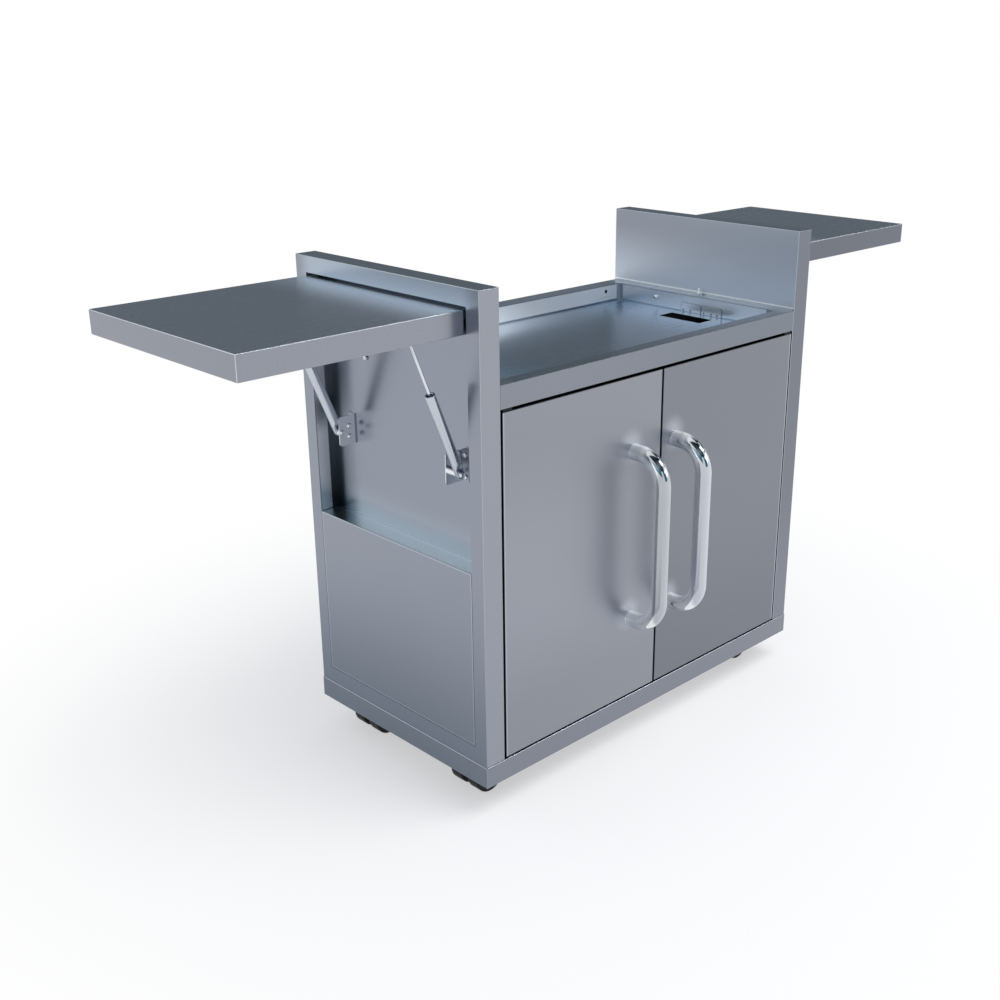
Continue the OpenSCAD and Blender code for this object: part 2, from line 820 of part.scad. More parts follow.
// Cross-section of the handle tube
module handle_ring() {
    difference() {
        circle(d = handle_d);
        circle(d = handle_d - 2 * handle_wall);
    }
}

// Upper half of the handle: a leg out of the door, a bend and half of the grip
module half_handle() {
    leg = handle_reach - handle_bend;
    bend_z = handle_span / 2 - handle_bend;
    translate([0, -body_y, handle_span / 2]) rotate([90, 0, 0]) linear_extrude(leg) handle_ring();
    translate([0, -body_y - leg, bend_z]) rotate([0, -90, 180])
        rotate_extrude(angle = 90) translate([handle_bend, 0]) handle_ring();
    translate([0, -body_y - handle_reach, 0]) linear_extrude(bend_z) handle_ring();
}

module handle(x) {
    placed() translate([x, 0, handle_mid]) for (end = [-1, 1])
        mirror([0, 0, end < 0 ? 1 : 0]) half_handle();
}

module door_handle_left() {
    color(steel_bright) handle(-handle_left_x);
}

module door_handle_right() {
    color(steel_bright) handle(handle_right_x);
}

// Pivot pin with the block that holds it inside the door's corner
module door_pin(low, height) {
    translate([pivot_x, pivot_y, low]) cylinder(d = pivot_d, h = height);
}

module door_pins() {
    inner = [pivot_x - bearing_w / 2 + gap, door_sheet - body_y, 0];
    outer = [door_out - door_sheet, door_back - sheet, pivot_block_h - gap];
    door_pin(door_low - pivot_out, pivot_out + door_sheet);
    block(inner + [0, 0, door_low + door_sheet], outer + [0, 0, door_low + door_sheet]);
    door_pin(door_high - door_sheet, pivot_out + door_sheet);
    block(inner + [0, 0, door_high - door_sheet - pivot_block_h + gap],
        outer + [0, 0, door_high - door_sheet - pivot_block_h + gap]);
}

module door_pins_left() {
    color(zinc) sided(-1) door_pins();
}

module door_pins_right() {
    color(zinc) sided(1) door_pins();
}

module strike_plate() {
    block([catch_x - catch_w / 2, door_back, door_high - door_sheet - catch_h],
        [catch_x + catch_w / 2, strike_back, door_high - door_sheet]);
}

module strike_plate_left() {
    color(zinc) sided(-1) strike_plate();
}

module strike_plate_right() {
    color(zinc) sided(1) strike_plate();
}

// Open pan of a shelf: top, four sides and a lip folded in round the underside
module shelf_pan() {
    difference() {
        folded_box([shelf_in, -shelf_y, shelf_low], [shelf_out, shelf_y, shelf_top], bend_r);
        block([shelf_in + sheet, sheet - shelf_y, shelf_low + sheet],
            [shelf_out - sheet, shelf_y - sheet, shelf_under]);
        block([shelf_in + shelf_lip, shelf_lip - shelf_y, shelf_low - over],
            [shelf_out - shelf_lip, shelf_y - shelf_lip, shelf_low + sheet + over]);
        rod_y([fold_x, -shelf_y - over, fold_z], fold_pin_d / 2, 2 * (shelf_y + over));
    }
}

module shelf_pan_left() {
    color(steel_dark) sided(-1) shelf_pan();
}

module shelf_pan_right() {
    color(steel_dark) sided(1) shelf_pan();
}

module shelf_stiffeners() {
    for (n = [0, 1])
        translate([fold_x + hat_out + n * hat_pitch, 0, shelf_under]) rotate([90, 0, 0])
            linear_extrude(hat_len, center = true) hat_section(hat_w, hat_depth, hat_flange, sheet);
}

module shelf_stiffeners_left() {
    color(steel_dark) sided(-1) shelf_stiffeners();
}

module shelf_stiffeners_right() {
    color(steel_dark) sided(1) shelf_stiffeners();
}

// Tab plate beside the strut's head, with a flange on the shelf's top
module shelf_strut_tab(strut_y) {
    near = eye_w / 2 + pin_reach + gap - strut_y;
    block([head_x - tab_w / 2, near, head_z - tab_drop],
        [head_x + tab_w / 2, near + tab_t, shelf_under]);
    block([head_x - tab_w / 2, near, shelf_under - tab_t],
        [head_x + tab_w / 2, near + shelf_lip, shelf_under]);
}

module shelf_strut_tabs_left() {
    color(zinc) for (end = [-1, 1]) cornered(-1, end) shelf_strut_tab(strut_at(end));
}

module shelf_strut_tabs_right() {
    color(zinc) for (end = [-1, 1]) cornered(1, end) shelf_strut_tab(strut_at(end));
}

// Pivot pin of a shelf: head inside the pan, collar in the gap, journal in the stile
module shelf_pin() {
    rod_y([fold_x, sheet - shelf_y, fold_z], fold_head_d / 2, 3 * sheet);
    rod_y([fold_x, -window_y - boss_t - sheet, fold_z], fold_pin_d / 2,
        window_y - shelf_y + boss_t + 2 * sheet);
    rod_y([fold_x, gap - window_y, fold_z], fold_collar_d / 2, window_y - shelf_y - gap);
}

module shelf_pins_left() {
    color(zinc) for (end = [-1, 1]) cornered(-1, end) shelf_pin();
}

module shelf_pins_right() {
    color(zinc) for (end = [-1, 1]) cornered(1, end) shelf_pin();
}

// Places children drawn along Z onto the strut's line, lower pivot at the origin
module on_strut(side, end) {
    cornered(side, end) translate([foot_x, -strut_at(end), foot_z]) rotate([0, strut_tilt, 0])
        children();
}

module strut_tube(side, end) {
    bore = strut_d / 2 - strut_wall;
    guide_low = tube_end - guide_in - guide_t;
    on_strut(side, end) difference() {
        union() {
            difference() {
                translate([0, 0, tube_start]) cylinder(d = strut_d, h = tube_end - tube_start);
                translate([0, 0, tube_start + plug_t])
                    cylinder(r = bore, h = guide_low - tube_start - plug_t);
                translate([0, 0, tube_end - guide_in]) cylinder(r = bore, h = guide_in - strut_wall);
                translate([0, 0, tube_end - guide_in]) cylinder(d = mouth_d, h = guide_in + over);
            }
            rod_y([0, -eye_w / 2, 0], lower_eye_d / 2, eye_w);
            block([-lower_eye_d / 2, -eye_w / 2, 0],
                [lower_eye_d / 2, eye_w / 2, tube_start + over]);
        }
        rod_y([0, -eye_w / 2 - over, 0], strut_pin_d / 2 + run, eye_w + 2 * over);
        translate([0, 0, guide_low - over])
            cylinder(r = rod_d / 2 + run, h = guide_t + 2 * over);
    }
}

module strut_rod(side, end) {
    bore = strut_d / 2 - strut_wall;
    on_strut(side, end) {
        translate([0, 0, rod_start + piston_t])
            cylinder(d = rod_d, h = strut_len - rod_start - piston_t - upper_eye_d / 4);
        translate([0, 0, rod_start]) cylinder(r = bore - gap, h = piston_t);
        rod_y([0, -eye_w / 2, strut_len], upper_eye_d / 2, eye_w);
        rod_y([0, eye_w / 2, strut_len], strut_pin_d / 2, pin_reach);
    }
}

module strut_tube_front_left() {
    color(zinc) strut_tube(-1, -1);
}

module strut_rod_front_left() {
    color(steel_bright) strut_rod(-1, -1);
}

module strut_tube_back_left() {
    color(zinc) strut_tube(-1, 1);
}

module strut_rod_back_left() {
    color(steel_bright) strut_rod(-1, 1);
}

module strut_tube_front_right() {
    color(zinc) strut_tube(1, -1);
}

module strut_rod_front_right() {
    color(steel_bright) strut_rod(1, -1);
}

module strut_tube_back_right() {
    color(zinc) strut_tube(1, 1);
}

module strut_rod_back_right() {
    color(steel_bright) strut_rod(1, 1);
}

// Places children at a caster's swivel. All four trail to the left, as in the rest pose
module at_caster(side, end) {
    placed() translate([side * caster_x, end * caster_y, 0]) children();
}

// Cylinder along Y through the wheels' middle, centred
module across(r, len) {
    translate([-trail, 0, wheel_d / 2]) rotate([90, 0, 0]) cylinder(r = r, h = len, center = true);
}

module caster_hood(side, end) {
    wheel_space = wheel_d / 2 + hood_gap;
    hood_r = wheel_space + hood_t;
    color(black) at_caster(side, end) difference() {
        union() {
            difference() {
                union() {
                    across(hood_r, caster_w);
                    translate([0, 0, wheel_d / 2])
                        cylinder(d = neck_d, h = race_low - gap - wheel_d / 2);
                }
                difference() {
                    across(wheel_space, caster_w + 2 * over);
                    across(wheel_space + over, web_w);
                }
                block([-trail - hood_r - over, -caster_w / 2 - over, -hood_r],
                    [hood_r - trail + over, caster_w / 2 + over, wheel_d / 2 + hood_low]);
            }
            across(axle_d, web_w);
            block([-trail - axle_d, -web_w / 2, wheel_d / 2],
                [axle_d - trail, web_w / 2, wheel_d / 2 + hood_low + over]);
        }
        across(axle_d / 2 + run, web_w + 2 * over);
        translate([0, 0, swivel_low - gap])
            cylinder(r = swivel_d / 2 + run, h = race_low - swivel_low + gap);
    }
}

module caster_wheels(side, end) {
    color(black) at_caster(side, end) translate([-trail, 0, wheel_d / 2]) for (s = [-1, 1])
        rotate([s * -90, 0, 0]) translate([0, 0, wheel_gap / 2]) rotate_extrude() difference() {
            intersection() {
                translate([0, wheel_w / 2]) round_rect(wheel_d, wheel_w, wheel_r);
                translate([axle_d / 2, 0]) square([wheel_d / 2, wheel_w]);
            }
            translate([wheel_d / 2 * hub_share, wheel_w * (1 - recess_depth_share)])
                square([wheel_d / 2 * (recess_share - hub_share), wheel_w]);
        }
}

module caster_axle(side, end) {
    color(zinc) at_caster(side, end) across(axle_d / 2, caster_w - 2 * over);
}

module caster_hood_front_left() {
    caster_hood(-1, -1);
}

module caster_wheels_front_left() {
    caster_wheels(-1, -1);
}

module caster_axle_front_left() {
    caster_axle(-1, -1);
}

module caster_hood_front_right() {
    caster_hood(1, -1);
}

module caster_wheels_front_right() {
    caster_wheels(1, -1);
}

module caster_axle_front_right() {
    caster_axle(1, -1);
}

module caster_hood_back_left() {
    caster_hood(-1, 1);
}

module caster_wheels_back_left() {
    caster_wheels(-1, 1);
}

module caster_axle_back_left() {
    caster_axle(-1, 1);
}

module caster_hood_back_right() {
    caster_hood(1, 1);
}

module caster_wheels_back_right() {
    caster_wheels(1, 1);
}

module caster_axle_back_right() {
    caster_axle(1, 1);
}

base_skirt();
base_floor();
caster_channels();
caster_plates();
side_frame_left();
side_frame_right();
inner_wall_left();
inner_wall_right();
lower_panel_left();
lower_panel_right();
front_rail();
back_rail();
back_panel();
grill_tray();
tray_cover_plates();
tray_fittings();
door_pivot_blocks();
magnet_catches();
strut_brackets_left();
strut_brackets_right();
recess_studs();
door_skin_left();
door_liner_left();
door_handle_left();
door_pins_left();
strike_plate_left();
door_skin_right();
door_liner_right();
door_handle_right();
door_pins_right();
strike_plate_right();
shelf_pan_left();
shelf_stiffeners_left();
shelf_strut_tabs_left();
shelf_pins_left();
shelf_pan_right();
shelf_stiffeners_right();
shelf_strut_tabs_right();
shelf_pins_right();
strut_tube_front_left();
strut_rod_front_left();
strut_tube_back_left();
strut_rod_back_left();
strut_tube_front_right();
strut_rod_front_right();
strut_tube_back_right();
strut_rod_back_right();
caster_hood_front_left();
caster_wheels_front_left();
caster_axle_front_left();
caster_hood_front_right();
caster_wheels_front_right();
caster_axle_front_right();
caster_hood_back_left();
caster_wheels_back_left();
caster_axle_back_left();
caster_hood_back_right();
caster_wheels_back_right();
caster_axle_back_right();
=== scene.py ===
import bpy
import bmesh
import json
import math
from mathutils import Matrix, Vector

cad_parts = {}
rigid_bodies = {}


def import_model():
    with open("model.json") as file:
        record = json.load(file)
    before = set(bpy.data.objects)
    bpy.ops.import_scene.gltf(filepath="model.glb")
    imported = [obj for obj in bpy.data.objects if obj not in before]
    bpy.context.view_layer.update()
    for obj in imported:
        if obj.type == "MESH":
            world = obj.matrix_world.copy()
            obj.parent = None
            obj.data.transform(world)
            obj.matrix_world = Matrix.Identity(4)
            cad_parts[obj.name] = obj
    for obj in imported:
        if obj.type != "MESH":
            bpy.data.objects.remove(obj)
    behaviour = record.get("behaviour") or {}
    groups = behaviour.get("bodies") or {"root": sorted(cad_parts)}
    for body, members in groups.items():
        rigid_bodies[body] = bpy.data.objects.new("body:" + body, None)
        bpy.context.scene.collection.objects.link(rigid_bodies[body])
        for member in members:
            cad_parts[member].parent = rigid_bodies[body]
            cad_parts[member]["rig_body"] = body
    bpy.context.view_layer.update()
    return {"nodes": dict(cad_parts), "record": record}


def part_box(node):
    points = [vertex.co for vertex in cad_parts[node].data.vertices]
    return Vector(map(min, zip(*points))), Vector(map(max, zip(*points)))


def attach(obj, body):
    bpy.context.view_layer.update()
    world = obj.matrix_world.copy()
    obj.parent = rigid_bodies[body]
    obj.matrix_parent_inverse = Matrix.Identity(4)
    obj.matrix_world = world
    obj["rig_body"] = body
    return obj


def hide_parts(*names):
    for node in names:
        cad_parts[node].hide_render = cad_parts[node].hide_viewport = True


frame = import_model()
mm = 0.001
print("frame loaded:", len(frame["nodes"]), "nodes")

# Camera: where the photograph was taken from, in the cart's own frame
view = {
    "place": (-1.6819, -1.5813, 1.2739),
    "azimuth": 44.98,
    "elevation": -20.506,
    "lens": 45.83,
    "sensor": 36.0,
    "shiftX": -0.0443,
    "shiftY": 0.0036,
}


def placeCamera():
    data = bpy.data.cameras.new("camera")
    data.lens = view["lens"]
    data.sensor_width = view["sensor"]
    data.sensor_fit = "HORIZONTAL"
    data.shift_x = view["shiftX"]
    data.shift_y = view["shiftY"]
    camera = bpy.data.objects.new("camera", data)
    bpy.context.scene.collection.objects.link(camera)
    azimuth, elevation = math.radians(view["azimuth"]), math.radians(view["elevation"])
    look = Vector((math.sin(azimuth) * math.cos(elevation), math.cos(azimuth) * math.cos(elevation), math.sin(elevation)))
    camera.matrix_world = Matrix.Translation(view["place"]) @ look.to_track_quat("-Z", "Y").to_matrix().to_4x4()
    bpy.context.scene.camera = camera


placeCamera()


# A socket that can be used in Python arithmetic
class Wire:
    def __init__(self, finish, socket):
        self.finish = finish
        self.socket = socket

    def maths(self, operation, *values):
        return self.finish.node("ShaderNodeMath", {"operation": operation}, values)

    def __add__(self, other):
        return self.maths("ADD", self, other)

    def __radd__(self, other):
        return self.maths("ADD", other, self)

    def __sub__(self, other):
        return self.maths("SUBTRACT", self, other)

    def __rsub__(self, other):
        return self.maths("SUBTRACT", other, self)

    def __mul__(self, other):
        return self.maths("MULTIPLY", self, other)

    def __rmul__(self, other):
        return self.maths("MULTIPLY", other, self)

    def root(self):
        return self.maths("SQRT", self)

    def least(self, other):
        return self.maths("MINIMUM", self, other)

    def most(self, other):
        return self.maths("MAXIMUM", self, other)

    def size(self):
        return self.maths("ABSOLUTE", self)


# One material or world and the one method that makes its nodes
class Finish:
    def __init__(self, tree):
        self.tree = tree

    def node(self, kind, settings=None, values=(), output=None):
        made = self.tree.nodes.new(kind)
        for name, value in (settings or {}).items():
            setattr(made, name, value)
        pairs = values.items() if isinstance(values, dict) else enumerate(values)
        for key, value in pairs:
            socket = next((s for s in made.inputs if s.enabled and s.name == key), None) or made.inputs[key]
            if isinstance(value, Wire):
                self.tree.links.new(value.socket, socket)
            else:
                socket.default_value = value
        if not len(made.outputs):
            return made
        return Wire(self, made.outputs[output] if output is not None else next(s for s in made.outputs if s.enabled))

    def place(self):
        return self.node("ShaderNodeTexCoord", output="Object")

    def axes(self, vector):
        split = self.tree.nodes.new("ShaderNodeSeparateXYZ")
        self.tree.links.new(vector.socket, split.inputs[0])
        return [Wire(self, split.outputs[n]) for n in range(3)]

    def step(self, value, low, high):
        # 0 below low, 1 above high, smooth between
        return self.node("ShaderNodeMapRange", {"interpolation_type": "SMOOTHSTEP"},
                         {"Value": value, "From Min": low, "From Max": high, "To Min": 0.0, "To Max": 1.0})

    def noise(self, vector, scale, detail=2.0, roughness=0.5):
        return self.node("ShaderNodeTexNoise", {"noise_dimensions": "3D"},
                         {"Vector": vector, "Scale": scale, "Detail": detail, "Roughness": roughness})

    def stretched(self, vector, scale):
        return self.node("ShaderNodeMapping", {"vector_type": "POINT"}, {"Vector": vector, "Scale": scale})

    def blend(self, factor, first, second):
        # colour mix, which a Math node can't do
        made = self.tree.nodes.new("ShaderNodeMix")
        made.data_type = "RGBA"
        for index, value in ((0, factor), (6, first), (7, second)):
            if isinstance(value, Wire):
                self.tree.links.new(value.socket, made.inputs[index])
            else:
                made.inputs[index].default_value = value if index == 0 else (*value, 1.0)
        return Wire(self, made.outputs[2])

    def edge(self, low, high, width):
        # 1 on the folded edges of the box low..high, 0 on its faces: the middle one of three distances
        gaps = []
        for along, start, end in zip(self.axes(self.place()), low, high):
            gaps.append((along - start).least(end - along).size())
        nearest = gaps[0].least(gaps[1]).least(gaps[2])
        farthest = gaps[0].most(gaps[1]).most(gaps[2])
        between = gaps[0] + gaps[1] + gaps[2] - nearest - farthest
        return 1 - self.step(between, width * 0.35, width)


def newFinish(name):
    material = bpy.data.materials.new(name)
    material.use_nodes = True
    material.node_tree.nodes.clear()
    return material, Finish(material.node_tree)


def shine(finish, colour, roughness, metallic=1.0, normal=None, fixed=None):
    # the surface itself, from a colour and a roughness that may vary
    values = {"Base Color": colour, "Roughness": roughness, "Metallic": metallic}
    if normal is not None:
        values["Normal"] = normal
    values.update(fixed or {})
    surface = finish.node("ShaderNodeBsdfPrincipled", None, values)
    finish.node("ShaderNodeOutputMaterial", None, [surface])


# Door handles. The doors' painted glow beside the roots follows these values too
handle = {
    "places": {"left": -0.0720, "right": 0.0400},
    "radius": 15.0 * mm,
    "bend": 52.5 * mm,
    "grip": -260.5 * mm,
    "face": -193.5 * mm,
    "ends": (257.0 * mm, 578.0 * mm),
    "sides": 56,
    "bendSteps": 22,
    "bead": 0.4 * mm,
    "beadSides": 10,
    "beadSteps": 48,
    "glowAside": -8.0 * mm,
    "glowAbove": 12.0 * mm,
}

# Base tones. The sheet steel of front, side, doors, shelves, skirt, rail and recess is one metal, in lighter and darker
# painted copies for how each face is lit: painted light and shade. The strut brackets' zinc is a lighter painted copy
# of the other zinc, painted light in the recess.
tones = {
    "front": (0.335, 0.355, 0.405),
    "side": (0.295, 0.322, 0.375),
    "doorLeft": (0.318, 0.333, 0.374),
    "doorRight": (0.256, 0.270, 0.308),
    "shelfLeft": (0.312, 0.333, 0.382),
    "shelfRight": (0.300, 0.320, 0.367),
    "skirt": (0.300, 0.322, 0.368),
    "rail": (0.268, 0.290, 0.334),
    "recess": (0.288, 0.316, 0.372),
    "tray": (0.222, 0.280, 0.345),
    "inner": (0.30, 0.32, 0.36),
    "zinc": (0.50, 0.54, 0.60),
    "bracket": (0.88, 0.90, 0.94),
    "chrome": (0.50, 0.525, 0.57),
}

# Zones: painted light and shade on parts of a sheet that face something else than the rest of it: painted reflections,
# painted highlights and painted shade, and two seams that are joint lines. Each has a tone, a strength and lists of
# limits.
# A limit names an axis, or an axis and a centre to measure from, and then where its mask is 0 and where it is 1, and
# the least it may be. The limits of a list are multiplied, and the largest list counts.
# Axes in metres: across from left to right, x its size, y from the middle of the depth, depth its size, z the height,
# corner the sum of x and depth, root the distance to the nearer root of a handle.
# middle is the y of the middle of the cabinet's depth
middle = 0.0405
recessFace = ("x", 0.3912, 0.3914)
innerFace = ("x", 0.3912, 0.3908)
overTray = ("z", 0.7595, 0.7600)
trayFloor = ("z", 0.7246, 0.7242)
trayRise = (("z", 0.7245, 0.7285), ("z", 0.7600, 0.7590))
ledgeTop = ("z", 0.4450, 0.4458)
shelfTop = ("z", 0.8762, 0.8776)
returnFace = (("x", 0.4312, 0.4295), ("x", 0.400, 0.4065), ("depth", 0.2084, 0.2080))
zones = {
    # Side frames: a painted reflection on the header, the near front band painted lighter, painted shade on the far
    # front band that is darker towards the bottom, a painted reflection on the returns with painted shade across their
    # middle, and painted shade on the top.
    "headerReflection": ((0.405, 0.470, 0.550), 1.0, [[("z", 0.870, 0.882), ("depth", 0.23, 0.19), ("x", 0.428, 0.431)]]),
    "frontBandLight": (tones["front"], 1.0, [[("y", -0.2332, -0.2337)]]),
    "farBandShade": ((0.205, 0.225, 0.265), 1.0, [[("y", -0.2332, -0.2337), ("z", 0.10, 0.45, 0.65)]]),
    "returnReflection": ((0.90, 0.93, 0.96), 1.0, [[*returnFace, ("z", 0.40, 0.41)]]),
    "returnShade": ((0.30, 0.34, 0.39), 0.5, [[*returnFace, (("z", 0.680), 0.085, 0.020)]]),
    "wallTopShade": ((0.225, 0.250, 0.290), 1.0, [[("z", 0.9095, 0.9106)]]),
    # Recess wall: painted reflections above the ledge, at its foot, on the flange's return and over the tray, stronger
    # towards the front and near the tray, a painted highlight along the tray's foot, and painted shade in the corner
    # and under the tray.
    "aboveLedgeReflection": ((0.335, 0.390, 0.455), 1.0, [[recessFace, ("z", 0.520, 0.446)]]),
    "wallFootReflection": ((0.62, 0.70, 0.78), 1.0, [[recessFace, ("z", 0.4485, 0.4475)]]),
    "cornerShade": ((0.05, 0.06, 0.07), 0.95, [[recessFace, ("y", 0.140, 0.200), (("z", 0.66), 0.05, 0.22, 0.579)]]),
    "flangeReturn": ((0.72, 0.76, 0.82), 1.0, [[("depth", 0.2060, 0.2068), ("x", 0.3925, 0.3935)]]),
    "upperWallReflection": ((0.315, 0.345, 0.400), 1.0, [[innerFace, overTray]]),
    "frontWallReflection": ((0.415, 0.462, 0.535), 1.0, [[innerFace, overTray, ("y", 0.23, -0.23)]]),
    "aboveTrayReflection": ((0.68, 0.76, 0.87), 0.62, [[innerFace, overTray, ("z", 0.892, 0.762)]]),
    "trayFootHighlight": ((0.95, 1.0, 1.0), 1.0, [[innerFace, ("z", 0.7618, 0.7622), ("z", 0.7648, 0.7640)]]),
    "underTrayShade": ((0.02, 0.024, 0.028), 1.0, [[innerFace, ("z", 0.56, 0.69), ("z", 0.7226, 0.7222)]]),
    # Ledge: a painted reflection on its top, and a seam line where it meets the wall.
    "ledge": ((0.90, 0.98, 1.0), 1.0, [[ledgeTop, ("x", 0.4318, 0.4306)]]),
    "ledgeSeam": ((0.25, 0.28, 0.32), 1.0, [[ledgeTop, ("x", 0.3945, 0.3935)]]),
    # Doors: a painted reflection across the middle of the near door, painted shade towards the foot of the far door, a
    # painted glow beside the handle roots, a painted highlight beside the outer gap, and painted shadow in the gaps
    # round the doors.
    "doorMiddleReflection": ((0.358, 0.374, 0.422), 1.0, [[(("z", 0.42), 0.26, 0.04)]]),
    "doorFootShade": ((0.190, 0.203, 0.236), 0.55, [[("z", 0.48, 0.10)]]),
    "paintedRootGlow": ((0.66, 0.71, 0.78), 0.50, [[("root", 0.040, 0.004)]]),
    "doorEdgeHighlight": ((0.46, 0.49, 0.54), 1.0, [[("x", 0.3830, 0.3836), ("x", 0.3858, 0.3854)]]),
    "doorGapShadow": ((0.02, 0.024, 0.03), 1.0, [[("z", 0.7132, 0.7138)], [("z", 0.1000, 0.0994)], [("x", 0.0031, 0.0025)],
                                           [("x", 0.3858, 0.3864)]]),
    # Shelves, skirt and rails: a painted reflection on the shelf top beside the wall, and painted shade on the near
    # shelf's end, the far shelf's top, the skirt's front, the rails towards the far side and under the rail.
    "besideWallReflection": ((0.68, 0.78, 0.88), 1.0, [[shelfTop, ("x", 0.560, 0.435)]]),
    "shelfEndShade": ((0.285, 0.304, 0.349), 1.0, [[("x", 0.8272, 0.8280)]]),
    "farShelfShade": ((0.168, 0.183, 0.218), 1.0, [[("z", 0.8768, 0.8755)]]),
    "skirtFrontShade": ((0.262, 0.277, 0.318), 1.0, [[("y", -0.2340, -0.2344)]]),
    "farRailShade": ((0.222, 0.250, 0.292), 1.0, [[("across", -0.35, 0.45)]]),
    "railUnderShade": ((0.03, 0.034, 0.04), 1.0, [[("z", 0.7196, 0.7192)]]),
    # Tray: painted reflections on the back and the right of its floor, on its walls and on the side lip, a painted
    # highlight on the upstand, painted shade in the rounded corner, on the lip and at the front, and a seam line at the
    # foot of the walls.
    "trayBackReflection": ((0.50, 0.57, 0.66), 1.0, [[trayFloor, ("y", -0.02, 0.185), ("across", 0.33, -0.25)]]),
    "trayRightReflection": ((0.335, 0.490, 0.650), 1.0, [[trayFloor, ("x", 0.14, 0.34)]]),
    "trayWallReflection": ((0.93, 0.96, 1.0), 1.0, [[*trayRise]]),
    "traySideWallReflection": ((0.64, 0.68, 0.74), 1.0, [[*trayRise, ("x", 0.3640, 0.3645)]]),
    "trayCornerShade": ((0.25, 0.285, 0.34), 1.0, [[*trayRise, ("corner", 0.5500, 0.5545), ("x", 0.3660, 0.3655)]]),
    "traySeam": ((0.30, 0.33, 0.38), 1.0, [[("z", 0.7242, 0.7246), ("z", 0.7256, 0.7250)]]),
    "trayLipShade": ((0.19, 0.22, 0.26), 1.0, [[("z", 0.7570, 0.7580)]]),
    "sideLipReflection": ((0.32, 0.37, 0.44), 1.0, [[("z", 0.7570, 0.7580), ("x", 0.3630, 0.3640), ("y", -0.21, -0.16)]]),
    "upstand": ((0.50, 0.56, 0.63), 1.0, [[("z", 0.7622, 0.7626)], [("x", 0.3870, 0.3876)]]),
    "trayFrontShade": ((0.12, 0.135, 0.15), 1.0, [[("y", -0.2310, -0.2325)]]),
    # Strut bracket flange: painted shade.
    "flange": ((0.33, 0.36, 0.41), 1.0, [[("x", 0.3940, 0.3936)]]),
}
# Where a sheet is less of a mirror: amounts taken off Metallic, and a roughness
blasts = {
    "trayBackWall": (0.34, [[*trayRise, ("y", 0.183, 0.198)]]),
    "traySideWalls": (0.10, [[*trayRise, ("x", 0.352, 0.366)]]),
}
rubs = {"overTray": (0.50, [[innerFace, overTray]])}


def zoneAxes(f):
    across, along, z = f.axes(f.place())
    x, y = across.size(), along - middle
    return {"across": across, "x": x, "y": y, "depth": y.size(), "z": z, "corner": x + y.size()}


def rootAxis(side):
    # a painted glow on the door beside each root stands in for the light that the polished handle throws there
    def away(axes):
        aside = axes["across"] - (handle["places"][side] + handle["glowAside"])
        low, high = [(axes["z"] - (end + handle["glowAbove"])).size() for end in handle["ends"]]
        up = low.least(high)
        return (aside * aside + up * up).root()
    return away


def limitMask(f, axes, axis, start, end, least=0.0):
    value = (axes[axis[0]] - axis[1]).size() if isinstance(axis, tuple) else axes[axis]
    mask = f.step(value, start, end) if start < end else 1 - f.step(value, end, start)
    return mask * (1 - least) + least if least else mask


def zoneMask(f, axes, lists):
    masks = []
    for limits in lists:
        mask = limitMask(f, axes, *limits[0])
        for limit in limits[1:]:
            mask = mask * limitMask(f, axes, *limit)
        masks.append(mask)
    for mask in masks[1:]:
        masks[0] = masks[0].most(mask)
    return masks[0]


def paintZones(f, axes, names, paint):
    for name in names:
        tone, strength, lists = zones[name]
        paint = f.blend(zoneMask(f, axes, lists) * strength, paint, tone)
    return paint


# Satin sheet steel with a painted highlight on its folds
satin = {
    "grainLength": 22.0,
    "grainFineness": 2600.0,
    "grainDepth": 0.0012,
    "grainHeight": 0.0002,
    "grainTint": 0.02,
    "grainDark": 0.7,
    "grainRough": 0.02,
    "cloudScale": 2.6,
    "cloudTint": 0.03,
    "cloudRough": 0.03,
    "edgeWidth": 1.2 * mm,
    "foldHighlight": (0.44, 0.48, 0.54),
    "shelfFoldHighlight": (0.74, 0.78, 0.84),
    "edgeRoughness": 0.28,
}


def scaled(colour, share):
    return tuple(min(1.0, c * share) for c in colour)


def satinSteel(name, colour, roughness, box=None, grain="Z", painted=(), edge=1.0, gaps=(), foldHighlight=None,
               rubbed=(), blasted=(), root=None):
    # the zones' painted light and shade go first, then the painted highlight on the folds of the box, then the painted
    # highlight and shadow of the gaps over them
    material, f = newFinish(name)
    axes = zoneAxes(f)
    if root:
        axes["root"] = root(axes)
    fine, slow = satin["grainFineness"], satin["grainLength"]
    along = {"X": (slow, fine, fine), "Z": (fine, fine, slow)}[grain]
    streaks = f.noise(f.stretched(f.place(), along), 1.0, 3.0, 0.6)
    cloud = f.noise(f.place(), satin["cloudScale"], 2.0)
    paint = f.blend(cloud, scaled(colour, 1 - satin["cloudTint"]), scaled(colour, 1 + satin["cloudTint"]))
    rough = roughness + (streaks - 0.5) * satin["grainRough"] + (cloud - 0.5) * satin["cloudRough"]
    paint = paintZones(f, axes, painted, paint)
    if box is not None:
        foldHighlightMask = f.edge(box[0], box[1], satin["edgeWidth"] * edge)
        paint = f.blend(foldHighlightMask, paint, foldHighlight or satin["foldHighlight"])
        rough = rough * (1 - foldHighlightMask) + foldHighlightMask * satin["edgeRoughness"]
    paint = paintZones(f, axes, gaps, paint)
    for value, lists in [rubs[key] for key in rubbed]:
        mask = zoneMask(f, axes, lists)
        rough = rough * (1 - mask) + mask * value
    metal = 1.0
    for amount, lists in [blasts[key] for key in blasted]:
        metal = metal - zoneMask(f, axes, lists) * amount
    paint = f.blend(streaks * satin["grainTint"], paint, scaled(colour, satin["grainDark"]))
    bump = f.node("ShaderNodeBump", None, {"Strength": satin["grainDepth"], "Distance": satin["grainHeight"],
                                           "Height": streaks})
    shine(f, paint, rough, metallic=metal, normal=bump)
    return material


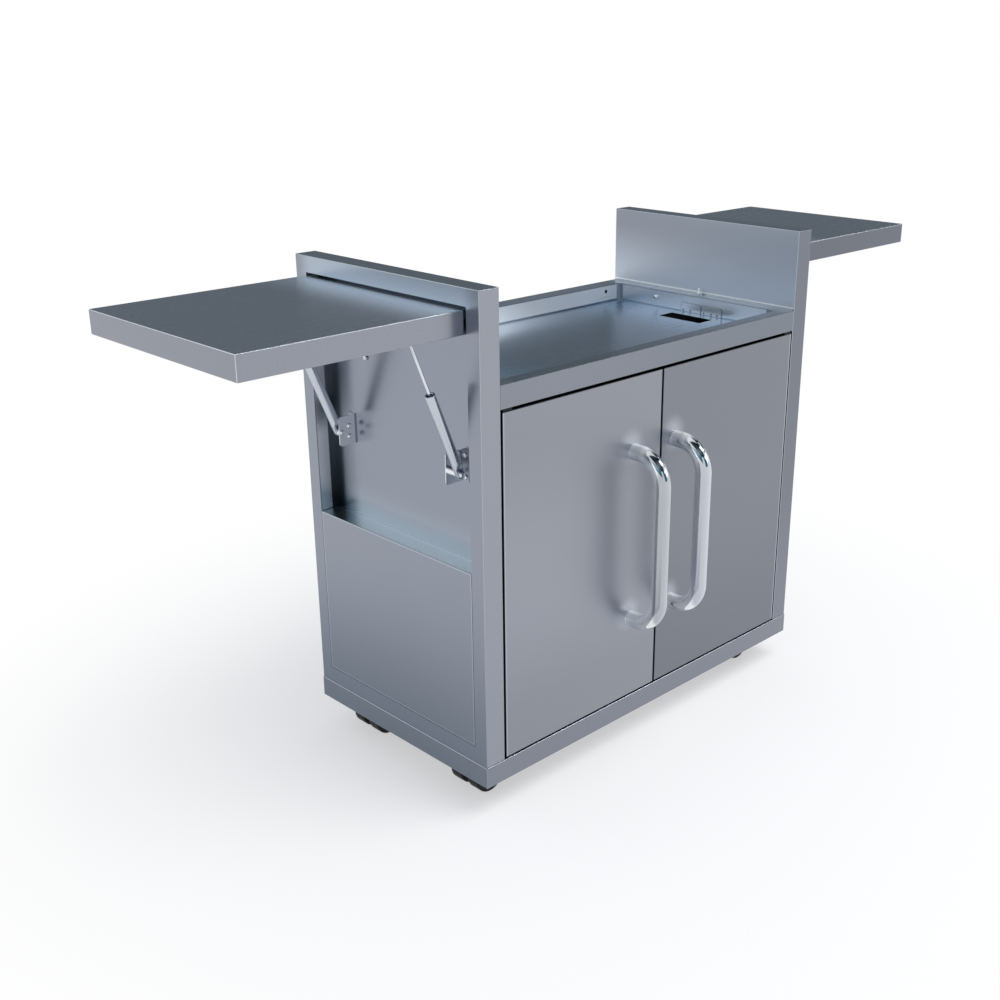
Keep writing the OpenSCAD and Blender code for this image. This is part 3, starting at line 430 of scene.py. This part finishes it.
def plainMetal(name, colour, roughness, painted=()):
    material, f = newFinish(name)
    speck = f.noise(f.place(), 900.0, 3.0)
    paint = f.blend(speck * 0.5, scaled(colour, 0.9), scaled(colour, 1.08))
    paint = paintZones(f, zoneAxes(f), painted, paint)
    shine(f, paint, roughness + (speck - 0.5) * 0.06)
    return material


def plastic(name, colour, roughness):
    material, f = newFinish(name)
    speck = f.noise(f.place(), 1500.0, 2.0)
    paint = f.blend(speck * 0.5, colour, scaled(colour, 1.6))
    bump = f.node("ShaderNodeBump", None, {"Strength": 0.12, "Distance": 0.0001, "Height": speck})
    shine(f, paint, roughness + (speck - 0.5) * 0.1, metallic=0.0, normal=bump, fixed={"Specular IOR Level": 0.22})
    return material


# Handle chrome: polished in the bends, softer where hands have rubbed the grip, brushed at the welded roots, with
# painted light in its colour: a painted gradient across the tube, a painted highlight on the door side of the legs, and
# painted reflections of the dark room, of a teal patch and of the door.
# Limits as in the zones. Axes: x from the tube's middle, y, and low and high from the heights of the two roots
chrome = {
    # The right handle painted lighter, the two flanks of the tube painted darker and lighter, then a painted highlight,
    # a painted reflection of the dark room and a painted teal reflection: painted light.
    "paintedLightBySide": {"left": 1.0, "right": 1.16},
    "sides": (0.86, 1.16),
    "paintedDoorSideHighlight": (0.96, 0.98, 1.0),
    "darkRoom": (0.22, 0.27, 0.31),
    "paintedTealReflection": (0.42, 0.60, 0.74),
    "polish": 0.035,
    "masks": {
        "grip": [[("low", 0.020, 0.050), ("high", -0.050, -0.066)]],
        "root": [[("y", -0.246, -0.218)]],
        "bend": [[("high", -0.012, 0.0), ("y", -0.218, -0.246)]],
        "doorSide": [[("y", -0.2630, -0.2540)]],
        "away": [[("x", -0.013, 0.011)]],
        "flank": [[("x", -0.012, 0.002)]],
        "top": [[("high", -0.001, 0.010)], [("low", 0.001, 0.012), ("low", 0.050, 0.040)]],
        "below": [[("low", -0.002, -0.014)], [("high", -0.020, -0.015), ("high", -0.002, -0.012)]],
        "foot": [[("y", -0.226, -0.212), ("high", -0.020, -0.010)]],
    },
}


def tubeChrome(side):
    material, f = newFinish("handleChrome_" + side)
    x, y, z = f.axes(f.place())
    low, high = handle["ends"]
    axes = {"x": x - handle["places"][side], "y": y, "low": z - low, "high": z - high}
    mask = {name: zoneMask(f, axes, lists) for name, lists in chrome["masks"].items()}
    smear = f.noise(f.stretched(f.place(), (400.0, 400.0, 9.0)), 1.0, 3.0)
    # a painted gradient across the tube, darker on its left flank, and the right handle painted lighter
    near, far = [scaled(tones["chrome"], share * chrome["paintedLightBySide"][side]) for share in chrome["sides"]]
    paint = f.blend(smear * 0.08, f.blend(mask["away"], near, far), (1.0, 1.0, 1.0))
    # a painted highlight on the door side of the legs; the outside of the upper bend stays a mirror, and its flank gets
    # a painted reflection of the dark room
    highlightNearDoor = mask["doorSide"] * (1 - mask["bend"])
    paint = f.blend(highlightNearDoor * 0.9, paint, chrome["paintedDoorSideHighlight"])
    paint = f.blend(mask["bend"] * mask["flank"] * 0.6, paint, chrome["darkRoom"])
    # a painted teal reflection under the roots
    paint = f.blend(mask["root"] * mask["below"] * 0.7, paint, chrome["paintedTealReflection"])
    # a painted reflection of the door on the upper leg near the door
    paint = f.blend(mask["foot"] * 0.4, paint, tones["doorLeft"])
    brushed = mask["root"] * mask["top"]
    shine(f, paint, chrome["polish"] + mask["grip"] * 0.17 + brushed * 0.20 + (smear - 0.5) * 0.02,
          metallic=1 - highlightNearDoor * 0.20 - brushed * 0.38)
    return material


def outlined(name, boxes, colour, line, width, roughness):
    # thin plates with a dark line round each
    material, f = newFinish(name)
    mask = f.edge(*boxes[0], width)
    for box in boxes[1:]:
        mask = mask.most(f.edge(*box, width))
    speck = f.noise(f.place(), 700.0, 2.0)
    paint = f.blend(mask, f.blend(speck, scaled(colour, 0.95), scaled(colour, 1.05)), line)
    shine(f, paint, roughness + (speck - 0.5) * 0.05)
    return material


def softShade(work, sharpAngle):
    for edge in work.edges:
        edge.smooth = len(edge.link_faces) == 2 and edge.calc_face_angle(0.0) < math.radians(sharpAngle)
    for face in work.faces:
        face.smooth = True


def placed(name, mesh):
    piece = bpy.data.objects.new(name, mesh)
    bpy.context.scene.collection.objects.link(piece)
    return piece


def merged(node, flat):
    # a copy of a CAD node with its triangles joined, so that round faces shade smoothly
    source = frame["nodes"][node]
    mesh = source.data.copy()
    mesh.name = node + ".smooth"
    mesh.materials.clear()
    work = bmesh.new()
    work.from_mesh(mesh)
    bmesh.ops.remove_doubles(work, verts=work.verts, dist=0.000004)
    bmesh.ops.dissolve_degenerate(work, edges=work.edges, dist=0.000002)
    softShade(work, 32.0)
    work.to_mesh(mesh)
    work.free()
    piece = placed(node + ".dressed", mesh)
    if flat:
        weigh = piece.modifiers.new("flatFaces", "WEIGHTED_NORMAL")
        weigh.keep_sharp = True
        weigh.weight = 100
    return piece


def slotOf(node):
    return next(s["material_slot"] for s in frame["record"]["subparts"] if s["node"] == node)


def standFor(piece, node, hide=True):
    # a new piece takes over a node, or joins one on its body
    if hide:
        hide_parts(node)
    slotOf(node)
    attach(piece, frame["nodes"][node]["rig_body"])
    return piece


def dress(node, material, flat=False):
    piece = merged(node, flat)
    piece.data.materials.append(material)
    return standFor(piece, node)


def boxOf(node):
    low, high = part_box(node)
    return tuple(low), tuple(high)


# A closed skin over each stack of rings, ends capped
def lofted(name, stacks, material):
    work = bmesh.new()
    for rings in stacks:
        rows = [[work.verts.new(point) for point in ring] for ring in rings]
        for below, above in zip(rows, rows[1:]):
            for n in range(len(below)):
                m = (n + 1) % len(below)
                work.faces.new((below[n], below[m], above[m], above[n]))
        work.faces.new(rows[0])
        work.faces.new(rows[-1])
    bmesh.ops.recalc_face_normals(work, faces=work.faces)
    softShade(work, 38.0)
    mesh = bpy.data.meshes.new(name)
    work.to_mesh(mesh)
    work.free()
    mesh.materials.append(material)
    return placed(name, mesh)


def ringAt(centre, across, over, halfAcross, halfOver, power=2.0, count=36):
    # one ring: round at power 2, squarer as the power grows
    points = []
    for n in range(count):
        angle = 2 * math.pi * (n + 0.5) / count
        c, s = math.cos(angle), math.sin(angle)
        points.append(centre + across * math.copysign(abs(c) ** (2 / power), c) * halfAcross
                      + over * math.copysign(abs(s) ** (2 / power), s) * halfOver)
    return points


def turned(foot, along, profile, count=36):
    # rings of a lathe-turned shape: profile gives the way along and the radius, in mm
    along = Vector(along).normalized()
    across = along.orthogonal().normalized()
    over = along.cross(across)
    return [ringAt(Vector(foot) + along * way * mm, across, over, radius * mm, radius * mm, 2.0, count)
            for way, radius in profile]


# Geometry Nodes: one tree sweeps a round bar along a path, the other sets screw heads on points
def nodeTree(name, inputs):
    tree = bpy.data.node_groups.new(name, "GeometryNodeTree")
    tree.interface.new_socket("Geometry", in_out="OUTPUT", socket_type="NodeSocketGeometry")
    for label, kind in inputs.items():
        tree.interface.new_socket(label, in_out="INPUT", socket_type="NodeSocket" + kind)
    f = Finish(tree)
    start = tree.nodes.new("NodeGroupInput")
    return tree, f, {label: Wire(f, start.outputs[label]) for label in inputs}


def closeTree(tree, f, made, finish):
    real = f.node("GeometryNodeRealizeInstances", None, {"Geometry": made})
    done = f.node("GeometryNodeSetMaterial", None, {"Geometry": real, "Material": finish})
    f.node("NodeGroupOutput", None, {"Geometry": done})
    return tree


def makeBarTree():
    tree, f, given = nodeTree("sweptBar", {"Geometry": "Geometry", "Radius": "Float", "Sides": "Int", "Finish": "Material"})
    path = f.node("GeometryNodeMeshToCurve", None, {"Mesh": given["Geometry"]})
    ring = f.node("GeometryNodeCurvePrimitiveCircle", None, {"Resolution": given["Sides"], "Radius": given["Radius"]})
    bar = f.node("GeometryNodeCurveToMesh", None, {"Curve": path, "Profile Curve": ring, "Fill Caps": True})
    smooth = f.node("GeometryNodeSetShadeSmooth", None, {"Geometry": bar})
    return closeTree(tree, f, smooth, given["Finish"])


def makeScrewTree():
    tree, f, given = nodeTree("screwRow", {"Geometry": "Geometry", "Head": "Object", "Size": "Float", "Seed": "Int",
                                           "Finish": "Material"})
    head = f.node("GeometryNodeObjectInfo", None, {"Object": given["Head"]}, "Geometry")
    facing = f.node("GeometryNodeInputNamedAttribute", {"data_type": "FLOAT_VECTOR"}, {"Name": "facing"})
    stand = f.node("FunctionNodeAlignRotationToVector", {"axis": "Z"}, {"Vector": facing})
    rows = f.node("GeometryNodeInstanceOnPoints", None, {"Points": given["Geometry"], "Instance": head, "Rotation": stand,
                                                         "Scale": given["Size"]})
    spin = f.node("FunctionNodeRandomValue", {"data_type": "FLOAT"}, {"Min": 0.0, "Max": 1.57, "Seed": given["Seed"]})
    twist = f.node("ShaderNodeCombineXYZ", None, {"Z": spin})
    spun = f.node("GeometryNodeRotateInstances", None, {"Instances": rows, "Rotation": twist, "Local Space": True})
    return closeTree(tree, f, spun, given["Finish"])


def grown(name, tree, points, links, values, facing=None):
    # runs a tree on a mesh of points and keeps the result as a plain mesh
    seed = bpy.data.meshes.new(name + ".seed")
    seed.from_pydata(points, links, [])
    if facing:
        rows = seed.attributes.new("facing", "FLOAT_VECTOR", "POINT")
        for row, way in zip(rows.data, facing):
            row.vector = way
    carrier = placed(name + ".carrier", seed)
    modifier = carrier.modifiers.new("grow", "NODES")
    modifier.node_group = tree
    for item in tree.interface.items_tree:
        if item.in_out == "INPUT" and item.name in values:
            modifier[item.identifier] = values[item.name]
    mesh = bpy.data.meshes.new_from_object(carrier.evaluated_get(bpy.context.evaluated_depsgraph_get()))
    mesh.name = name
    bpy.data.objects.remove(carrier)
    return placed(name, mesh)


barTree = makeBarTree()
screwTree = makeScrewTree()

sides = ("left", "right")
ends = ("front", "back")
corners = [end + "_" + side for end in ends for side in sides]

zinc = plainMetal("zincPlate", tones["zinc"], 0.28)
brightZinc = plainMetal("brightZinc", (0.80, 0.83, 0.88), 0.20)
bracketZinc = plainMetal("bracketZinc", tones["bracket"], 0.30, painted=("flange",))
darkZinc = plainMetal("darkZinc", (0.030, 0.034, 0.040), 0.45)
polished = plainMetal("polishedBar", (0.74, 0.78, 0.84), 0.08)
innerSteel = satinSteel("innerSheet", tones["inner"], 0.38, grain="X")
blackHood = plastic("hoodPlastic", (0.008, 0.008, 0.010), 0.30)
blackWheel = plastic("wheelPlastic", (0.009, 0.009, 0.011), 0.5)


# node, tone, roughness and the rest of what satinSteel takes, for each side
def sideSheets(side):
    far = side == "right"
    return (
        ("side_frame_", "wallSheet_", "side", 0.26, True,
         {"painted": ("headerReflection", "farBandShade" if far else "frontBandLight", "returnReflection", "returnShade", "wallTopShade")}),
        ("inner_wall_", "innerWall_", "recess", 0.24, False,
         {"painted": ("aboveLedgeReflection", "wallFootReflection", "cornerShade", "flangeReturn", "upperWallReflection", "frontWallReflection", "aboveTrayReflection",
                      "trayFootHighlight", "underTrayShade"), "rubbed": ("overTray",)}),
        ("lower_panel_", "lowerPanel_", "side", 0.26, True, {"painted": ("ledge", "ledgeSeam"), "edge": 2.6}),
        ("door_skin_", "doorSheet_", "door" + side.title(), 0.37, True,
         {"painted": ("doorFootShade" if far else "doorMiddleReflection", "paintedRootGlow"), "gaps": ("doorEdgeHighlight", "doorGapShadow"),
          "root": rootAxis(side)}),
        ("shelf_pan_", "shelfSheet_", "shelf" + side.title(), 0.27, True,
         {"grain": "X", "painted": ("besideWallReflection", "farShelfShade" if far else "shelfEndShade"),
          "foldHighlight": satin["shelfFoldHighlight"]}),
    )


def dressSheets():
    for side in sides:
        for node, name, tone, roughness, folded, rest in sideSheets(side):
            box = boxOf(node + side) if folded else None
            dress(node + side, satinSteel(name + side, tones[tone], roughness, box, **rest), True)
        for node in ("door_liner_", "shelf_stiffeners_"):
            dress(node + side, innerSteel, True)
    dress("base_skirt", satinSteel("skirtSheet", tones["skirt"], 0.26, boxOf("base_skirt"), grain="X",
                                   painted=("skirtFrontShade",)), True)
    for rail in ("front_rail", "back_rail"):
        dress(rail, satinSteel(rail + ".sheet", tones["rail"], 0.26, grain="X", painted=("farRailShade", "railUnderShade")), True)
    for node in ("base_floor", "caster_channels", "back_panel"):
        dress(node, innerSteel, True)
    dress("grill_tray", satinSteel("traySheet", tones["tray"], 0.27, grain="X",
                                   painted=("trayBackReflection", "trayRightReflection", "trayWallReflection", "traySideWallReflection", "trayCornerShade",
                                            "traySeam", "trayLipShade", "sideLipReflection", "upstand", "trayFrontShade"),
                                   blasted=("trayBackWall", "traySideWalls")), True)


coverPlates = [((0.3640, -0.0389, 0.7240), (0.3650, 0.0131, 0.7430)), ((0.3640, 0.0139, 0.7240), (0.3650, 0.0659, 0.7430))]


def dressFittings():
    for side in sides:
        for node in ("strike_plate_", "shelf_strut_tabs_", "shelf_pins_"):
            dress(node + side, zinc)
        dress("door_pins_" + side, brightZinc)
        dress("strut_brackets_" + side, bracketZinc)
    dress("door_pivot_blocks", darkZinc)
    dress("caster_plates", zinc)
    dress("magnet_catches", blackWheel)
    for corner in corners:
        dress("caster_hood_" + corner, blackHood)
        dress("caster_wheels_" + corner, blackWheel)
        dress("caster_axle_" + corner, zinc)
    dress("tray_cover_plates", outlined("coverPlate", coverPlates, (0.64, 0.665, 0.72), (0.20, 0.22, 0.26), 1.2 * mm, 0.30))


dressSheets()
dressFittings()

# A bent tube with a weld bead round each root
def handlePath(x):
    low, high = handle["ends"]
    turn = handle["grip"] + handle["bend"]
    points = [(x, handle["face"] + 0.5 * mm, high)]
    for n in range(handle["bendSteps"] + 1):
        angle = math.pi / 2 * n / handle["bendSteps"]
        points.append((x, turn - handle["bend"] * math.sin(angle), high - handle["bend"] * (1 - math.cos(angle))))
    points += [(x, y, low + high - z) for x, y, z in reversed(points)]
    return points


def makeHandles():
    steps = handle["beadSteps"]
    for side, x in handle["places"].items():
        node = "door_handle_" + side
        finish = tubeChrome(side)
        path = handlePath(x)
        tube = grown("handleTube_" + side, barTree, path, [(n, n + 1) for n in range(len(path) - 1)],
                     {"Radius": handle["radius"], "Sides": handle["sides"], "Finish": finish})
        standFor(tube, node)
        for label, z in zip(("low", "high"), handle["ends"]):
            loop = [(x + handle["radius"] * math.cos(a), handle["face"] - handle["bead"], z + handle["radius"] * math.sin(a))
                    for a in [2 * math.pi * n / steps for n in range(steps)]]
            bead = grown("handleWeld_" + side + "_" + label, barTree, loop, [(n, (n + 1) % steps) for n in range(steps)],
                         {"Radius": handle["bead"], "Sides": handle["beadSides"], "Finish": finish})
            standFor(bead, node, hide=False)


makeHandles()
print("handles swept")

# Telescopic struts: rings as way along the strut, half width, half thickness, squareness
strut = {
    "foot": (421.5 * mm, 607.3 * mm),
    "head": (518.3 * mm, 845.8 * mm),
    "rows": {"front": -130.0 * mm, "back": 192.5 * mm},
    "tube": ((-8.0, 0.8, 3.2, 2.0), (-7.5, 2.8, 4.0, 4.0), (-6.0, 5.3, 4.0, 6.0), (-3.0, 7.4, 4.0, 7.0),
             (0.0, 8.0, 4.0, 7.0), (9.0, 8.0, 4.0, 7.0), (12.0, 8.1, 4.7, 5.0), (15.0, 8.3, 6.4, 3.2),
             (19.0, 8.45, 8.0, 2.3), (23.0, 8.5, 8.5, 2.0),
             (60.0, 8.5, 8.5, 2.0), (110.0, 8.5, 8.5, 2.0), (150.2, 8.5, 8.5, 2.0), (151.8, 8.3, 8.3, 2.0),
             (152.7, 7.7, 7.7, 2.0), (153.0, 6.9, 6.9, 2.0), (152.8, 5.9, 5.9, 2.0), (152.0, 5.1, 5.1, 2.0),
             (150.6, 4.7, 4.7, 2.0), (145.0, 4.6, 4.6, 2.0)),
    "rod": ((128.0, 2.5, 2.5, 2.0), (200.0, 2.5, 2.5, 2.0), (247.0, 2.5, 2.5, 2.0), (250.0, 4.3, 3.6, 3.0),
            (253.0, 5.7, 4.0, 6.0), (257.4, 6.0, 4.0, 7.0), (260.6, 5.0, 4.0, 6.0), (262.8, 2.0, 3.8, 4.0),
            (263.4, 0.7, 3.2, 2.0)),
    "pin": ((3.5, 3.0), (7.9, 3.0), (8.4, 2.5)),
}


def strutRings(side, row, shape):
    sign = -1 if side == "left" else 1
    foot = Vector((sign * strut["foot"][0], strut["rows"][row], strut["foot"][1]))
    head = Vector((sign * strut["head"][0], strut["rows"][row], strut["head"][1]))
    along, over = (head - foot).normalized(), Vector((0, 1, 0))
    across = along.cross(over)
    return [ringAt(foot + along * way * mm, across, over, wide * mm, thick * mm, power)
            for way, wide, thick, power in strut[shape]], head


def makeStruts():
    tubeSteel = plainMetal("strutTubeSteel", (0.58, 0.62, 0.68), 0.18)
    mouthBlack = plastic("strutMouth", (0.004, 0.004, 0.005), 0.6)
    for side in sides:
        for row in ends:
            corner = row + "_" + side
            rings, head = strutRings(side, row, "tube")
            tube = lofted("strutTube_" + corner, [rings], tubeSteel)
            # the last rings are the inside of the tube's mouth, and the last face but one caps its foot
            tube.data.materials.append(mouthBlack)
            inside, footCap = (len(rings) - 2) * len(rings[0]), len(tube.data.polygons) - 2
            for face in tube.data.polygons:
                face.material_index = 1 if face.index >= inside and face.index != footCap else 0
            standFor(tube, "strut_tube_" + corner)
            rings, head = strutRings(side, row, "rod")
            way = 1 if row == "front" else -1
            pin = turned(head, (0, way, 0), strut["pin"], 24)
            standFor(lofted("strutRod_" + corner, [rings, pin], polished), "strut_rod_" + corner)


makeStruts()
print("struts lofted")

# Tray fittings and recess studs
small = {
    "fittingPlace": (0.365, 0.1345, 0.743),
    "pinPlace": (0.381, 0.0345, 0.762),
    "studPlace": (0.3915, 0.1425, 0.7439),
    "fitting": ((0.0, 4.5), (1.3, 4.5), (1.6, 4.2), (1.6, 3.3), (5.3, 3.2), (6.0, 2.7), (6.0, 1.9), (5.4, 1.6), (2.4, 1.5)),
    "pin": ((-4.0, 2.25), (0.0, 2.25), (0.0, 3.5), (1.2, 3.5), (1.5, 3.2), (1.5, 2.25), (10.2, 2.25), (10.8, 1.9),
            (11.0, 1.2)),
    "stud": ((0.0, 2.6), (2.4, 2.6), (2.4, 3.8), (2.9, 4.0), (3.6, 3.6), (4.0, 2.4)),
}


def fittingFinish(name):
    # a white ring with painted shade in its bore, and a white pin. The bore's edge is given as squares of its radius
    material, f = newFinish(name)
    x, y, z = f.axes(f.place())
    across, up = y - small["fittingPlace"][1], z - small["fittingPlace"][2]
    boreShade = (1 - f.step(across * across + up * up, 0.0000040, 0.0000055)) * (1 - f.step(x, 0.3630, 0.3640))
    speck = f.noise(f.place(), 900.0, 2.0)
    paint = f.blend(boreShade, f.blend(speck, (0.90, 0.93, 0.97), (0.98, 1.0, 1.0)), (0.02, 0.025, 0.03))
    shine(f, paint, 0.42, metallic=0.45)
    return material


def makeSmallParts():
    fitting = turned(small["fittingPlace"], (-1, 0, 0), small["fitting"], 30)
    pin = turned(small["pinPlace"], (0, 0, 1), small["pin"], 30)
    standFor(lofted("trayFittings", [fitting, pin], fittingFinish("fittingZinc")), "tray_fittings")
    out, back, up = small["studPlace"]
    studs = [turned((way * out, back, up), (way, 0, 0), small["stud"], 30) for way in (-1, 1)]
    standFor(lofted("recessStuds", studs, brightZinc), "recess_studs")


makeSmallParts()


# Pan heads with a cross recess, 1 across and standing on Z
def panHead():
    profile = ((0.0, 0.46), (0.03, 0.5), (0.10, 0.5), (0.18, 0.46), (0.25, 0.37), (0.295, 0.24), (0.31, 0.10))
    dome = lofted("panHead.dome", [turned((0, 0, 0), (0, 0, 1), [(w / mm, r / mm) for w, r in profile], 24)], brightZinc)
    arm, half = 0.27, 0.065
    outline = [(arm, half), (half, half), (half, arm), (-half, arm), (-half, half), (-arm, half),
               (-arm, -half), (-half, -half), (-half, -arm), (half, -arm), (half, -half), (arm, -half)]
    cross = lofted("panHead.cross", [[[Vector((x * s, y * s, z)) for x, y in outline]
                                      for z, s in ((0.13, 0.75), (0.40, 1.1))]], brightZinc)
    cutter = dome.modifiers.new("recess", "BOOLEAN")
    cutter.object = cross
    cutter.solver = "EXACT"
    mesh = bpy.data.meshes.new_from_object(dome.evaluated_get(bpy.context.evaluated_depsgraph_get()))
    for piece in (dome, cross):
        bpy.data.objects.remove(piece)
    return placed("panHead", mesh)


# name: size in mm, node whose body they ride on, and place and facing of each in mm
def screwPlaces():
    rows = {"coverScrews": (3.4, "tray_cover_plates", [((364, y, z), (-1, 0, 0)) for y, z in
                                                       ((59, 727.5), (41, 727.5), (6, 727.5), (-13, 727.5), (-28, 727.5))])}
    plates = []
    for x in (-362, 362):
        for y in (-101.5, 182.5):
            plates += [((x + a * 17, y + b * 25, 76), (0, 0, -1)) for a in (-1, 1) for b in (-1, 1)]
    rows["casterScrews"] = (7.5, "caster_plates", plates)
    rows["panelRivets"] = (5.0, "back_panel", [((x, 273.9, 130 + n * 80), (0, 1, 0)) for x in (-379, 379) for n in range(8)])
    for side, way in (("left", -1), ("right", 1)):
        rivets = [((way * 405.5, y, z), (0, face, 0)) for z in (616.8, 597.8)
                  for y, face in ((181.6, -1), (183.9, 1), (-102.9, -1), (-100.6, 1))]
        rivets += [((way * 421.5, 181.6, 607.3), (0, -1, 0)), ((way * 421.5, -100.6, 607.3), (0, 1, 0))]
        rivets += [((way * 393.4, y, z), (way, 0, 0)) for y in (191.5, -110.5) for z in (590.3, 627.8)]
        rows["bracketRivets_" + side] = (9.2, "strut_brackets_" + side, rivets)
        rows["pivotHeads_" + side] = (12.0, "strut_brackets_" + side,
                                      [((way * 421.5, y, 607.3), (0, face, 0)) for y, face in ((-135.0, -1), (197.5, 1))])
    return rows


def makeScrews():
    head = panHead()
    for name, (size, node, spots) in screwPlaces().items():
        finish = darkZinc if name == "coverScrews" else brightZinc
        row = grown(name, screwTree, [Vector(place) * mm for place, way in spots], [],
                    {"Head": head, "Size": size * mm, "Seed": 7, "Finish": finish}, [way for place, way in spots])
        standFor(row, node, hide=False)
    bpy.data.objects.remove(head)


makeScrews()
print("nodes dressed")

# Studio: a pale floor and a white surround, a soft lamp, and cards that only reflections see
studio = {
    "floorSize": 60.0,
    "floorColour": (0.90, 0.905, 0.915),
    "floorGlow": 0.50,
    "glowGrows": (0.36, 1.4),
    "ambient": (0.56, 0.59, 0.65),
    "lampWay": (0.22, -0.50, 1.0),
    "lampReach": 4.0,
    "lampSize": 2.4,
    "lampPower": 92.0,
    "lampColour": (1.0, 0.985, 0.96),
    "reach": 6.0,
    "flagEdge": -0.433,
    "flagReach": 0.55,
    "flagEnds": (-0.9, 1.6),
    "flagDepth": 0.42,
    "flagColour": (0.03, 0.12, 0.20),
}
# name: direction from the cart, width and height in metres, colour, strength, and distance in reaches
cards = {
    "flag": ((0.66, 0.66, 0.35), 11.0, 4.6, (0.180, 0.215, 0.245), 1.0, 1.0),
    "darkRight": ((0.70, -0.12, 0.60), 5.6, 5.0, (0.020, 0.032, 0.040), 1.0, 1.1),
    "darkRoom": ((-0.15, -0.50, 0.80), 8.5, 6.0, (0.030, 0.050, 0.060), 1.0, 1.1),
    "tealRoom": ((-0.72, -0.48, 0.44), 5.6, 2.6, (0.10, 0.25, 0.33), 1.0, 1.05),
    "windowRight": ((0.64, -0.42, 0.64), 0.9, 1.3, (1.0, 1.0, 1.0), 9.0, 1.0),
    "windowEdge": ((0.74, -0.16, 0.60), 0.35, 1.6, (1.0, 1.0, 1.0), 4.0, 1.0),
    "tealFront": ((0.14, -0.92, 0.34), 3.6, 3.0, (0.075, 0.185, 0.245), 1.0, 1.05),
    "windowMiddle": ((0.36, -0.54, 0.76), 0.42, 1.5, (1.0, 1.0, 1.0), 8.0, 1.0),
    "windowLow": ((0.34, -0.82, 0.46), 0.34, 0.9, (1.0, 1.0, 1.0), 7.0, 1.0),
    "softboxFront": ((0.66, -0.66, 0.35), 3.6, 1.6, (1.0, 1.0, 1.0), 2.6, 1.0),
    "softboxBack": ((-0.40, 0.62, 0.68), 3.4, 2.2, (0.92, 0.97, 1.0), 1.3, 1.0),
}


def seenRays(f):
    # 1 for the rays that show the background: camera, glossy and transmission
    path = f.tree.nodes.new("ShaderNodeLightPath")
    seen = [Wire(f, path.outputs[name]) for name in ("Is Camera Ray", "Is Glossy Ray", "Is Transmission Ray")]
    return seen[0].most(seen[1]).most(seen[2])


def flatCard(name, corners, material):
    mesh = bpy.data.meshes.new(name)
    mesh.from_pydata(corners, [], [tuple(range(len(corners)))])
    mesh.materials.append(material)
    card = bpy.data.objects.new(name, mesh)
    bpy.context.scene.collection.objects.link(card)
    return card


def hangCard(name, direction, width, height, colour, strength, far):
    material, f = newFinish(name)
    glow = f.node("ShaderNodeEmission", None, {"Color": (*colour, 1.0), "Strength": strength})
    f.node("ShaderNodeOutputMaterial", None, [glow])
    out = Vector(direction).normalized()
    across = out.cross(Vector((0, 0, 1))).normalized()
    up = across.cross(out)
    centre = out * studio["reach"] * far + Vector((0, middle, 0.5))
    card = flatCard(name, [centre + across * a * width / 2 + up * b * height / 2
                           for a, b in ((-1, -1), (1, -1), (1, 1), (-1, 1))], material)
    onlyReflected(card)


def onlyReflected(card):
    card.visible_camera = False
    card.visible_diffuse = False
    card.visible_shadow = False


def layFlag():
    # a dark card on the floor beside the left wall, fading away from it
    material, f = newFinish("floorFlag")
    x, y, z = f.axes(f.place())
    near, (front, back) = studio["flagEdge"], studio["flagEnds"]
    far = near - studio["flagReach"]
    fade = 1 - f.step(near - x, 0.0, studio["flagReach"])
    clear = f.node("ShaderNodeBsdfTransparent")
    dark = f.node("ShaderNodeEmission", None, {"Color": (*studio["flagColour"], 1.0), "Strength": 1.0})
    faded = f.node("ShaderNodeMixShader", None, [fade * studio["flagDepth"], clear, dark])
    f.node("ShaderNodeOutputMaterial", None, [faded])
    onlyReflected(flatCard("floorFlag", [(far, front, 2 * mm), (near, front, 2 * mm), (near, back, 2 * mm),
                                         (far, back, 2 * mm)], material))


def hangLamp():
    data = bpy.data.lights.new("softLamp", "AREA")
    data.shape = "SQUARE"
    data.size = studio["lampSize"]
    data.energy = studio["lampPower"]
    data.color = studio["lampColour"]
    lamp = bpy.data.objects.new("softLamp", data)
    bpy.context.scene.collection.objects.link(lamp)
    way = Vector(studio["lampWay"]).normalized()
    lamp.matrix_world = Matrix.Translation(way * studio["lampReach"]) @ way.to_track_quat("Z", "Y").to_matrix().to_4x4()
    lamp.visible_glossy = False
    lamp.visible_camera = False


def buildStudio():
    half = studio["floorSize"] / 2
    paper, f = newFinish("floorPaper")
    dull = f.node("ShaderNodeBsdfDiffuse", None, {"Color": (*studio["floorColour"], 1.0)})
    glow = f.node("ShaderNodeEmission", None, {"Color": (1.0, 1.0, 1.0, 1.0), "Strength": 1.0})
    away = f.step(f.node("ShaderNodeVectorMath", {"operation": "LENGTH"}, [f.place()], output=1), *studio["glowGrows"])
    near = studio["floorGlow"]
    both = f.node("ShaderNodeMixShader", None, [seenRays(f) * (near + away * (1 - near)), dull, glow])
    f.node("ShaderNodeOutputMaterial", None, [both])
    flatCard("floor", [(-half, -half, 0), (half, -half, 0), (half, half, 0), (-half, half, 0)], paper)
    for name, values in cards.items():
        hangCard(name, *values)
    layFlag()
    hangLamp()
    world = bpy.data.worlds.new("studio")
    world.use_nodes = True
    world.node_tree.nodes.clear()
    bpy.context.scene.world = world
    w = Finish(world.node_tree)
    colour = w.blend(seenRays(w), studio["ambient"], (1.0, 1.0, 1.0))
    background = w.node("ShaderNodeBackground", None, {"Color": colour, "Strength": 1.0})
    w.node("ShaderNodeOutputWorld", None, [background])


buildStudio()
bpy.context.scene.view_settings.view_transform = "Standard"
print("studio ready")
